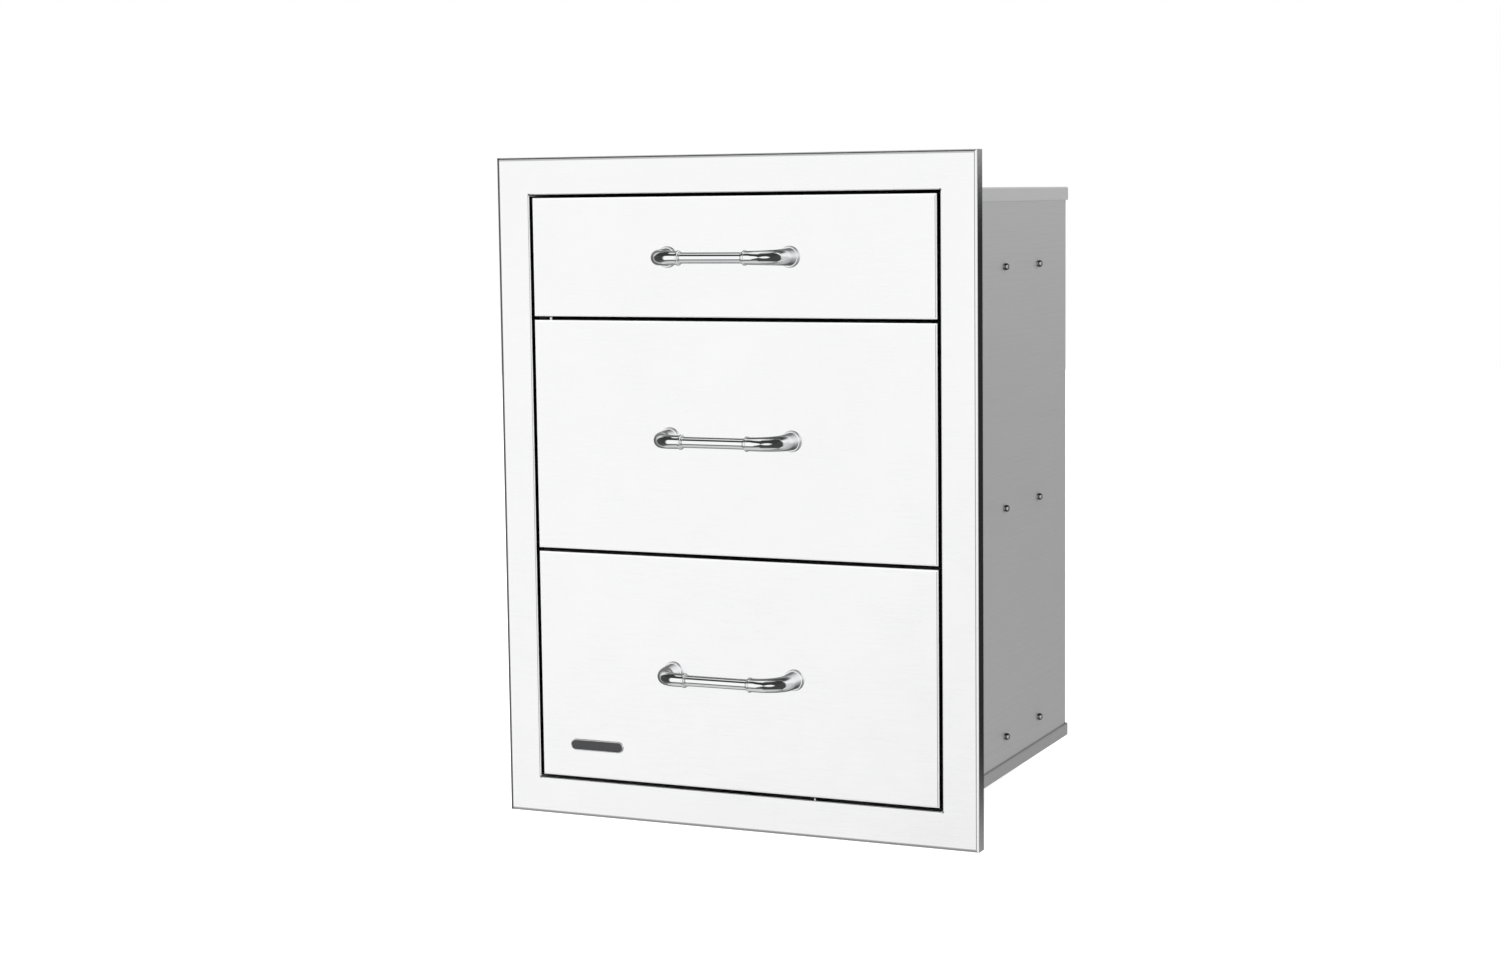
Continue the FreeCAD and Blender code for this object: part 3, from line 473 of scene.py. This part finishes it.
def finish_mesh(name, mesh, stands_for=(), body=None, slot=None, finish=None, sharp=SHARP_TURNED):
    """Makes a piece from a bmesh: smooth but for its sharp edges, with its finish and its body."""
    bmesh.ops.remove_doubles(mesh, verts=mesh.verts, dist=WELD)
    bmesh.ops.recalc_face_normals(mesh, faces=mesh.faces)
    data = bpy.data.meshes.new(name)
    mesh.to_mesh(data)
    mesh.free()
    data.shade_smooth()
    data.set_sharp_from_angle(angle=math.radians(sharp))
    piece = bpy.data.objects.new(name, data)
    bpy.context.scene.collection.objects.link(piece)
    if stands_for:
        body = body_of[stands_for[0]]
        slot = slot_of[stands_for[0]]
        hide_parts(*stands_for)
    data.materials.append(finish or materials[slot])
    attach(piece, body)
    return piece


def loft(mesh, rings):
    """Closed skin through rings of points, each ring a loop of the same count."""
    loops = [[mesh.verts.new(point) for point in ring] for ring in rings]
    count = len(loops[0])
    for here, after in zip(loops, loops[1:]):
        for index in range(count):
            following = (index + 1) % count
            mesh.faces.new((here[index], here[following], after[following], after[index]))
    mesh.faces.new(loops[0][::-1])
    mesh.faces.new(loops[-1])


def ring(centre, across, up, radius, count):
    """Circle of points in the plane of two unit vectors."""
    turns = [2 * math.pi * index / count for index in range(count)]
    return [centre + radius * (math.cos(turn) * across + math.sin(turn) * up) for turn in turns]


def lathe(mesh, profile, origin, axis, count):
    """Turned form: profile is a list of (distance along the axis, radius)."""
    axis = Vector(axis).normalized()
    across = axis.orthogonal().normalized()
    up = axis.cross(across)
    loft(mesh, [ring(Vector(origin) + axis * along, across, up, max(radius, SMALLEST_RADIUS), count)
                for along, radius in profile])


def rounded(points, radius, steps):
    """Polyline of 2-D points with an arc-like curve at each corner between its ends."""
    made = [Vector(points[0])]
    for index in range(1, len(points) - 1):
        point = Vector(points[index])
        before = Vector(points[index - 1]) - point
        after = Vector(points[index + 1]) - point
        reach = min(radius, before.length * 0.49, after.length * 0.49)
        start, end = point + before.normalized() * reach, point + after.normalized() * reach
        for step in range(steps + 1):
            share = step / steps
            made.append(start * (1 - share) ** 2 + point * 2 * share * (1 - share)
                        + end * share ** 2)
    return made + [Vector(points[-1])]


# Handles

BEND = 21 * MM
# The elbow's radius at its collar and at its foot, and these two's lengths, in millimetres
SLIM, WIDE = 5.75, 7.7
COLLAR_LENGTH, BASE_LENGTH = 2.3, 3.3
SWELL_STEPS = 44


def elbow_profile(length, tube, foot):
    """Distance from the collar and radius along an elbow's middle line, all in millimetres."""
    collar = [(-0.5, tube - 0.2), (-0.5, 5.35), (0.35, 5.35), (0.35, 5.0), (0.75, 5.0),
              (0.75, 6.45), (COLLAR_LENGTH, 6.45), (COLLAR_LENGTH, SLIM)]
    swell = [(COLLAR_LENGTH + (length - COLLAR_LENGTH - BASE_LENGTH) * step / SWELL_STEPS,
              SLIM + (WIDE - SLIM) * (step / SWELL_STEPS) ** 1.5)
             for step in range(1, SWELL_STEPS + 1)]
    base = [(length - BASE_LENGTH, foot - 0.9), (length - 2.2, foot - 0.9),
            (length - 2.2, foot - 0.25), (length - 1.1, foot), (length, foot)]
    return rounded(collar, 0.28, 3) + swell + rounded(base, 0.45, 3)


def handle(drawer):
    """Chromed tube with ring collars, and elbows that swell into round feet."""
    bar_low, bar_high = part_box(f"{drawer}_handle_bar")
    low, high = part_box(f"{drawer}_handle_elbows")
    centre = (bar_low + bar_high) / 2
    half_bar, tube = bar_high.x, (bar_high.z - bar_low.z) / 2
    foot = (high.z - low.z) / 2
    reach = high.y - centre.y
    straight = high.x - foot - BEND - half_bar
    length = straight + BEND * math.pi / 2 + reach - BEND
    profile = elbow_profile(length / MM, tube / MM, foot / MM)

    def station(distance, side):
        """Place and direction on an elbow's middle line."""
        turn = min(max((distance - straight) / BEND, 0), math.pi / 2)
        x = half_bar + min(distance, straight) + BEND * math.sin(turn)
        y = (centre.y + BEND * (1 - math.cos(turn))
             + max(distance - straight - BEND * math.pi / 2, 0))
        return (Vector((side * x, y, centre.z)),
                Vector((-side * math.sin(turn), math.cos(turn), 0)))

    for side, sign in SIDES.items():
        mesh = bmesh.new()
        rings = []
        for distance, radius in profile:
            place, across = station(distance * MM, sign)
            rings.append(ring(place, across, Vector((0, 0, 1)), radius * MM, ROUND))
        loft(mesh, rings)
        piece = finish_mesh(f"{drawer}_{side}_elbow", mesh, [f"{drawer}_handle_elbows"])
        piece.visible_glossy = False

    # The bar's ends, in millimetres: distance past the end, and radius. A bead stands round each.
    radius = tube / MM
    end = [(0.4, radius), (-0.5, radius), (-0.5, radius + 0.15), (-0.65, radius + 0.32),
           (-0.95, radius + 0.38), (-1.25, radius + 0.32), (-1.4, radius + 0.15), (-1.4, radius)]
    right_end = [(half_bar + along * MM, thick * MM) for along, thick in end]
    left_end = [(-along, thick) for along, thick in right_end]
    mesh = bmesh.new()
    lathe(mesh, left_end + right_end[::-1], (0, centre.y, centre.z), (1, 0, 0), ROUND)
    finish_mesh(f"{drawer}_bar", mesh, [f"{drawer}_handle_bar"]).visible_glossy = False


for drawer in DRAWERS:
    handle(drawer)


# Rivets

def islands(node):
    """Boxes of the separate solids of a CAD node, lowest and highest corner of each, in order."""
    mesh = bmesh.new()
    mesh.from_mesh(nodes[node].data)
    bmesh.ops.remove_doubles(mesh, verts=mesh.verts, dist=CAD_WELD)
    waiting = set(mesh.verts)
    found = []
    while waiting:
        group = set()
        edge = [waiting.pop()]
        while edge:
            vert = edge.pop()
            group.add(vert)
            for link in vert.link_edges:
                other = link.other_vert(vert)
                if other in waiting:
                    waiting.remove(other)
                    edge.append(other)
        low = Vector([min(vert.co[axis] for vert in group) for axis in range(3)])
        high = Vector([max(vert.co[axis] for vert in group) for axis in range(3)])
        found.append((low, high))
    mesh.free()
    return sorted(found, key=lambda box: tuple(round(part, 5) for part in box[0]))


# Rivet heads and crimped blind ends, in millimetres: distance from the sheet, and radius
HEAD = [(0, 2.8), (0.22, 2.8), (0.62, 2.55), (0.92, 2.1), (1.08, 1.55), (1.1, 1.2), (1.02, 1.02),
        (0.4, 0.95), (0.34, 0.6), (0.3, 0.0)]
BLIND_END = [(0, 2.45), (0.5, 2.75), (1.2, 3.05), (2.0, 3.15), (2.8, 3.05), (3.5, 2.7),
             (4.05, 2.1), (4.35, 1.5), (4.4, 1.15), (4.25, 0.98), (3.7, 0.92), (3.7, 0.6),
             (3.85, 0.35), (3.9, 0.0)]


def rivets(node, sign, profile, finish=None):
    """Rivet ends that stand on a sheet facing along X, one for each head of the node."""
    metres = [(along * MM, radius * MM) for along, radius in profile]
    mesh = bmesh.new()
    for low, high in islands(node):
        centre = (low + high) / 2
        centre.x = low.x if sign > 0 else high.x
        lathe(mesh, metres, centre, (sign, 0, 0), SMALL_ROUND)
    finish_mesh(f"{node}_round", mesh, [node], finish=finish)


crimped = blind_end("crimped_steel")
for side, sign in SIDES.items():
    rivets(f"{side}_slide_rivets", sign, BLIND_END, crimped)
    for drawer in DRAWERS:
        rivets(f"{drawer}_{side}_tray_rivets", -sign, HEAD)


# Ball-bearing slides

# Sections of the three rails, across from the box's side and up from the slide's middle. SWEEP is
# how far the middle rail's neck turns and SLOPE how far one row of balls lies round the other.
STRIP = 1.1 * MM
HALF_HEIGHT = 22.3 * MM
CABINET_WEB = STRIP / 2
MIDDLE_WEB = 3.0 * MM
DRAWER_WEB = 12.15 * MM
SWEEP, SLOPE = 65, 45
CABINET_LIP, MIDDLE_LIP, DRAWER_LIP = 65, 105, 50
CABINET_CORNER, MIDDLE_CORNER, DRAWER_CORNER = 1.6 * MM, 1.2 * MM, 0.9 * MM
BALL, BALL_PLAY = 1.8 * MM, 0.2 * MM
ROLL = BALL + BALL_PLAY + STRIP / 2
NECK = ROLL + MIDDLE_CORNER
OUTER_BALL = (MIDDLE_WEB + NECK * math.cos(math.radians(SWEEP)) + MIDDLE_CORNER,
              HALF_HEIGHT - ROLL)
INNER_BALL = (OUTER_BALL[0] + 2 * ROLL * math.sin(math.radians(SLOPE)),
              OUTER_BALL[1] - 2 * ROLL * math.cos(math.radians(SLOPE)))
DRAWER_TILT = math.degrees(math.asin((DRAWER_WEB - INNER_BALL[0] - DRAWER_CORNER)
                                     / (ROLL + DRAWER_CORNER)))
RAILS = {
    "cabinet": (CABINET_WEB, [
        ("run", OUTER_BALL[1] + ROLL - CABINET_CORNER), ("turn", CABINET_CORNER, -90),
        ("run", OUTER_BALL[0] - CABINET_WEB - CABINET_CORNER), ("turn", ROLL, -CABINET_LIP)]),
    "middle": (MIDDLE_WEB, [
        ("run", OUTER_BALL[1] - NECK * math.sin(math.radians(SWEEP))),
        ("turn", MIDDLE_CORNER, SWEEP - 180), ("turn", ROLL, 180 - SWEEP - SLOPE),
        ("turn", ROLL, -MIDDLE_LIP)]),
    "drawer": (DRAWER_WEB, [
        ("run", INNER_BALL[1] - (ROLL + DRAWER_CORNER) * math.cos(math.radians(DRAWER_TILT))),
        ("turn", DRAWER_CORNER, 90 + DRAWER_TILT), ("turn", ROLL, -DRAWER_TILT - DRAWER_LIP)]),
}
# Slots through each web, in millimetres: distance behind the front end, length, height
SLOTS = {
    "cabinet": [(18, 9, 4.6), (62, 14, 5), (85, 5, 5), (112, 20, 6), (158, 14, 5), (182, 5, 5),
                (208, 20, 6), (256, 14, 5), (282, 9, 4.6)],
    "middle": [(14, 5, 5), (60, 26, 8), (110, 12, 6), (150, 5, 5), (190, 12, 6), (240, 26, 8),
               (286, 5, 5)],
    "drawer": [(16, 9, 4.4), (64, 16, 4.4), (90, 4.4, 4.4), (118, 16, 4.4), (160, 4.4, 8),
               (200, 16, 4.4), (256, 16, 4.4), (284, 9, 4.4)],
}
ARC_STEP = 12       # Most degrees of a bend's short chords


def middle_line(start, heading, moves):
    """Places and headings along a middle line of runs and turns, as part of a bent section."""
    x, y = start
    angle = math.radians(heading)
    line = [(x, y, angle)]
    for move in moves:
        if move[0] == "run":
            x += move[1] * math.cos(angle)
            y += move[1] * math.sin(angle)
            line.append((x, y, angle))
            continue
        count = math.ceil(abs(move[2]) / ARC_STEP)
        step = math.radians(move[2] / count)
        radius = math.copysign(move[1], move[2])
        for _ in range(count):
            x += radius * (math.sin(angle + step) - math.sin(angle))
            y -= radius * (math.cos(angle + step) - math.cos(angle))
            angle += step
            line.append((x, y, angle))
    return line


def bent_strip(mesh, line, thickness, front, back, place):
    """Sheet whose end-on middle line is given, drawn out from front to back along Y."""
    def beside(offset):
        return [place(x - offset * math.sin(angle), y + offset * math.cos(angle))
                for x, y, angle in line]

    first, second = beside(thickness / 2), beside(-thickness / 2)
    loops = [[mesh.verts.new((x, depth, z)) for x, z in first + second[::-1]]
             for depth in (front, back)]
    count = len(loops[0])
    for index in range(count):
        following = (index + 1) % count
        mesh.faces.new((loops[0][index], loops[0][following], loops[1][following], loops[1][index]))
    for loop in loops:
        for index in range(count // 2 - 1):
            mesh.faces.new((loop[index], loop[index + 1],
                            loop[count - 2 - index], loop[count - 1 - index]))


def mirrored_moves(moves):
    """Moves of a section that is the same above and below, from its lower free edge upwards."""
    joined = []
    for move in [*reversed(moves)] + list(moves):
        if joined and joined[-1][0] == "run" and move[0] == "run":
            joined[-1] = ("run", joined[-1][1] + move[1])
        else:
            joined.append(move)
    return joined


def symmetric_line(web, moves):
    """Middle line of a section that is the same above and below, from its web's middle outwards."""
    end = middle_line((web, 0), 90, moves)[-1]
    return middle_line((end[0], -end[1]), 180 - math.degrees(end[2]), mirrored_moves(moves))


def slot_cutter(x, y, z, length, height, depth):
    """Round-ended prism that runs through a web facing along X."""
    radius = min(length, height) / 2
    points = []
    for index in range(SMALL_ROUND):
        turn = 2 * math.pi * (index + 0.5) / SMALL_ROUND
        across, up = math.cos(turn), math.sin(turn)
        points.append((y + math.copysign(length / 2 - radius, across) + radius * across,
                       z + math.copysign(height / 2 - radius, up) + radius * up))
    mesh = bmesh.new()
    loft(mesh, [[Vector((x + side * depth / 2, *point)) for point in points] for side in (-1, 1)])
    return mesh


def subtract(piece, cutters):
    """Cuts the cutters out of a piece, and keeps the result as its mesh."""
    joined = bmesh.new()
    for cutter in cutters:
        data = bpy.data.meshes.new("cutter")
        cutter.to_mesh(data)
        cutter.free()
        joined.from_mesh(data)
        bpy.data.meshes.remove(data)
    bmesh.ops.recalc_face_normals(joined, faces=joined.faces)
    data = bpy.data.meshes.new("cutter")
    joined.to_mesh(data)
    joined.free()
    tool = bpy.data.objects.new("cutter", data)
    bpy.context.scene.collection.objects.link(tool)
    modifier = piece.modifiers.new("slots", "BOOLEAN")
    modifier.object = tool
    modifier.solver = "MANIFOLD"
    graph = bpy.context.evaluated_depsgraph_get()
    cut = bpy.data.meshes.new_from_object(piece.evaluated_get(graph))
    piece.modifiers.clear()
    piece.data = cut
    bpy.data.objects.remove(tool)
    bpy.data.meshes.remove(data)
    cut.shade_smooth()
    cut.set_sharp_from_angle(angle=math.radians(SHARP_SHEET))


SHEET = 0.8 * MM
BOX_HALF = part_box("right_side_panel")[1].x - SHEET


def at_slide(side, height):
    """Place in the frame of a point of a slide's section."""
    sign = SIDES[side]
    return lambda across, up: (sign * (BOX_HALF - across), height + up)


def rail(drawer, side, kind):
    """Rolled rail of a slide, with the slots punched through its web."""
    node = f"{drawer}_{side}_{kind}_rail"
    low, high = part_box(node)
    height = (low.z + high.z) / 2
    web, moves = RAILS[kind]
    mesh = bmesh.new()
    bent_strip(mesh, symmetric_line(web, moves), STRIP, low.y, high.y, at_slide(side, height))
    piece = finish_mesh(f"{node}_rolled", mesh, [node], sharp=SHARP_SHEET)
    x = SIDES[side] * (BOX_HALF - web)
    subtract(piece, [slot_cutter(x, low.y + back * MM, height, long * MM, tall * MM, 3 * STRIP)
                     for back, long, tall in SLOTS[kind]])


# Ball cages: their sheet, its gap to the rail, its bends, how far it reaches past the balls'
# middles, and the balls of a row with the play of their pockets
CAGE_SHEET, CAGE_GAP, CAGE_CORNER, CAGE_REACH = 0.6 * MM, 0.4 * MM, 1.0 * MM, 2.6 * MM
BALLS_IN_ROW, BALL_PITCH = 14, 8 * MM
POCKET_PLAY, POCKET_REACH, POCKET_SIDES = 0.15 * MM, 3 * MM, 16
SHORTEST_STRIP = 50 * MM


def cages(drawer, kind):
    """Both ball cages between two kinds of rail: bent strips with pockets, and their balls."""
    node = f"{drawer}_{kind}_cages"
    low, high = next(box for box in islands(node) if box[1].y - box[0].y > SHORTEST_STRIP)
    height = (low.z + high.z) / 2
    ball = OUTER_BALL if kind == "outer" else INNER_BALL
    rail_face = STRIP if kind == "outer" else MIDDLE_WEB + STRIP / 2
    web = rail_face + CAGE_GAP + CAGE_SHEET / 2
    moves = [("run", ball[1] - CAGE_CORNER), ("turn", CAGE_CORNER, -90),
             ("run", ball[0] + CAGE_REACH - web - CAGE_CORNER)]
    row = [(low.y + high.y) / 2 + (index - (BALLS_IN_ROW - 1) / 2) * BALL_PITCH
           for index in range(BALLS_IN_ROW)]
    half_pocket, pocket_radius = ball[1] + POCKET_REACH, BALL + POCKET_PLAY
    for side, sign in SIDES.items():
        mesh = bmesh.new()
        bent_strip(mesh, symmetric_line(web, moves), CAGE_SHEET, low.y, high.y,
                   at_slide(side, height))
        stands_for = [node] if side == "right" else []
        piece = finish_mesh(f"{node}_{side}_strip", mesh, stands_for, body_of[node],
                            slot_of[node], sharp=SHARP_SHEET)
        x = sign * (BOX_HALF - ball[0])
        cutters = []
        balls = bmesh.new()
        for y in row:
            cutter = bmesh.new()
            lathe(cutter, [(-half_pocket, pocket_radius), (half_pocket, pocket_radius)],
                  (x, y, height), (0, 0, 1), POCKET_SIDES)
            cutters.append(cutter)
            for up in (-1, 1):
                place = Matrix.Translation((x, y, height + up * ball[1]))
                bmesh.ops.create_uvsphere(balls, u_segments=20, v_segments=12, radius=BALL,
                                          matrix=place)
        subtract(piece, cutters)
        finish_mesh(f"{node}_{side}_balls", balls, body=body_of[node], finish=ball_steel,
                    sharp=SHARP_BALL)


ball_steel = chrome("ball_steel")
for drawer in DRAWERS:
    for side in SIDES:
        for kind in RAILS:
            rail(drawer, side, kind)
    for kind in ("outer", "inner"):
        cages(drawer, kind)


# Blank plate at the lower left of the bottom front, and the small nylon buttons in two gaps

PLATE_LEFT, PLATE_RIGHT, PLATE_HEIGHT, PLATE_RADIUS = -159.1 * MM, -107.6 * MM, 34 * MM, 5.0 * MM
# Distance in from the plate's edge, and rise from the front, in millimetres
PLATE_RIM = [(0, 0), (0, 0.7), (0.12, 0.95), (0.35, 1.1), (0.6, 1.1), (0.8, 0.95), (0.85, 0.7)]
PLATE_FIELD = [(0.9, 0.6), (0.9, 0.72), (1.0, 0.76), (1.6, 0.8)]
# How far the buttons lie behind the frame's face, and the lower one's seat lies under the front
BUTTON_DEPTH, BUTTON_SEAT = 2.2 * MM, 2.6 * MM


def pill(inset, y):
    """Outline of the round-ended plate, some way in from its edge."""
    radius = PLATE_RADIUS - inset
    points = []
    for index in range(ROUND):
        turn = 2 * math.pi * (index + 0.5) / ROUND
        centre = PLATE_RIGHT - PLATE_RADIUS if math.cos(turn) > 0 else PLATE_LEFT + PLATE_RADIUS
        points.append(Vector((centre + radius * math.cos(turn), y,
                              PLATE_HEIGHT + radius * math.sin(turn))))
    return points


def plate_piece(name, profile, slot=None, finish=None):
    """One form of the plate on the bottom front."""
    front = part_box("bottom_front_skin")[0].y
    mesh = bmesh.new()
    loft(mesh, [pill(inset * MM, front - rise * MM) for inset, rise in profile])
    finish_mesh(name, mesh, body="bottom_drawer", slot=slot, finish=finish)


def button(name, x, base, rise, radius, body):
    """Small nylon button in the gap round a front. Its rise and radius are in millimetres."""
    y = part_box("face_frame")[0].y + BUTTON_DEPTH
    profile = [(0, radius), (0.5 * rise, radius), (0.85 * rise, 0.85 * radius),
               (rise, 0.5 * radius), (rise, 0)]
    metres = [(along * MM, thick * MM) for along, thick in profile]
    mesh = bmesh.new()
    lathe(mesh, metres, (x, y, base), (0, 0, 1), SMALL_ROUND)
    finish_mesh(name, mesh, body=body, finish=nylon)


nylon = plastic("white_nylon", (0.9, 0.9, 0.89), 0.45)
plate_piece("blank_plate_rim", PLATE_RIM, slot="handle_chrome")
plate_piece("blank_plate_field", PLATE_FIELD,
            finish=plastic("dark_enamel", (0.045, 0.045, 0.048), 0.25))
button("middle_front_button", -172 * MM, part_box("middle_front_skin")[1].z, 2.3, 1.15,
       "middle_drawer")
button("frame_button", 74 * MM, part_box("bottom_front_skin")[0].z - BUTTON_SEAT, 1.7, 0.7,
       "cabinet")


# Studio

def camera():
    """Camera at the photograph's place, found by fitting the frame's and the fronts' corners."""
    data = bpy.data.cameras.new("camera")
    data.sensor_fit = "HORIZONTAL"
    data.sensor_width = CAMERA_SENSOR
    data.lens = CAMERA_LENS
    thing = bpy.data.objects.new("camera", data)
    bpy.context.scene.collection.objects.link(thing)
    forward = Vector((-math.sin(CAMERA_YAW) * math.cos(CAMERA_PITCH),
                      math.cos(CAMERA_YAW) * math.cos(CAMERA_PITCH), -math.sin(CAMERA_PITCH)))
    level = Vector((math.cos(CAMERA_YAW), math.sin(CAMERA_YAW), 0))
    above = level.cross(forward)
    right = math.cos(CAMERA_ROLL) * level + math.sin(CAMERA_ROLL) * above
    up = -math.sin(CAMERA_ROLL) * level + math.cos(CAMERA_ROLL) * above
    turned = Matrix((right, up, -forward)).transposed().to_4x4()
    thing.matrix_world = Matrix.Translation(CAMERA_PLACE) @ turned
    bpy.context.scene.camera = thing


AMBIENT = 0.9       # Brightness of the studio as plain light on the unit


def studio():
    """White studio. Metal also shows its soft boxes and what lies between them.

    Mirrors show these at full contrast, and brushed or rolled sheets show them paler.
    """
    world = bpy.data.worlds.new("studio")
    bpy.context.scene.world = world
    world.use_nodes = True
    tree = world.node_tree
    background = tree.nodes["Background"]
    direction = Direction(tree, tree.nodes.new("ShaderNodeTexCoord").outputs["Generated"])
    shown = room(tree, direction)
    in_front = direction.by_bearing(SHEETS["in_front"])

    def both(first, second):
        """Share where both shares hold."""
        return mathematics(tree, "MULTIPLY", first, second)

    pale = blend_colours(tree, shown, (0.45, 0.45, 0.45), WHITE)
    pale = blend_colours(tree, direction.by_bearing(SHEETS["fill"]), pale, WHITE)
    above = both(in_front, direction.by_height(SHEETS["above_the_boxes"]))
    pale = blend_colours(tree, above, pale, WHITE)
    far_up = both(in_front, direction.by_height(SHEETS["ceiling_and_floor"]))
    pale = blend_colours(tree, far_up, pale, (0.02, 0.02, 0.02))
    gap = both(direction.by_bearing(SHEETS["gap_bearing"]),
               direction.by_height(SHEETS["gap_height"]))
    pale = blend_colours(tree, gap, pale, (0.05, 0.05, 0.05))

    path = tree.nodes.new("ShaderNodeLightPath")
    sharp = blend_colours(tree, shown, (0.012, 0.012, 0.013), WHITE)
    seen = blend_colours(tree, path.outputs["Is Singular Ray"], pale, sharp)
    seen = blend_colours(tree, path.outputs["Is Glossy Ray"], (AMBIENT,) * 3, seen)
    clear = mathematics(tree, "MAXIMUM", path.outputs["Is Camera Ray"],
                        path.outputs["Is Transmission Ray"])
    seen = blend_colours(tree, clear, seen, WHITE)
    tree.links.new(seen, background.inputs["Color"])
    background.inputs["Strength"].default_value = 1


FLOOR_RADIUS, FLOOR_THICKNESS, FLOOR_SIDES = 6.0, 2 * MM, 96


def floor():
    """Pale floor under the frame's lower edge. It keeps the unit's soft shadow."""
    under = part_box("face_frame")[0].z
    mesh = bmesh.new()
    lathe(mesh, [(-FLOOR_THICKNESS, FLOOR_RADIUS), (0, FLOOR_RADIUS)], (0, 0, under), (0, 0, 1),
          FLOOR_SIDES)
    data = bpy.data.meshes.new("floor")
    mesh.to_mesh(data)
    mesh.free()
    thing = bpy.data.objects.new("floor", data)
    bpy.context.scene.collection.objects.link(thing)
    made, tree, shader = new_material("pale_floor")
    shader.inputs["Base Color"].default_value = (0.82, 0.82, 0.82, 1)
    shader.inputs["Roughness"].default_value = 0.9
    shader.inputs["Specular IOR Level"].default_value = 0
    glow = tree.nodes.new("ShaderNodeEmission")
    together = tree.nodes.new("ShaderNodeAddShader")
    path = tree.nodes.new("ShaderNodeLightPath")
    lift = mathematics(tree, "MULTIPLY", path.outputs["Is Camera Ray"], 0.8)
    tree.links.new(lift, glow.inputs["Strength"])
    tree.links.new(shader.outputs[0], together.inputs[0])
    tree.links.new(glow.outputs[0], together.inputs[1])
    tree.links.new(together.outputs[0], tree.nodes["Material Output"].inputs["Surface"])
    data.materials.append(made)
    thing.visible_glossy = False


LAMP_AIM = Vector((0, 0.1, 0.25))


def lamp(name, place, size, power):
    """Soft round lamp aimed at the unit. Metal shows the studio's own soft boxes in its place."""
    data = bpy.data.lights.new(name, "AREA")
    data.shape = "DISK"
    data.size = size
    data.energy = power
    thing = bpy.data.objects.new(name, data)
    thing.location = place
    thing.rotation_euler = (LAMP_AIM - Vector(place)).to_track_quat("-Z", "Y").to_euler()
    thing.visible_glossy = False
    bpy.context.scene.collection.objects.link(thing)


camera()
studio()
floor()
lamp("overhead", place=(-0.6, -0.8, 2.4), size=2.0, power=26)
bpy.context.scene.view_settings.view_transform = "Standard"
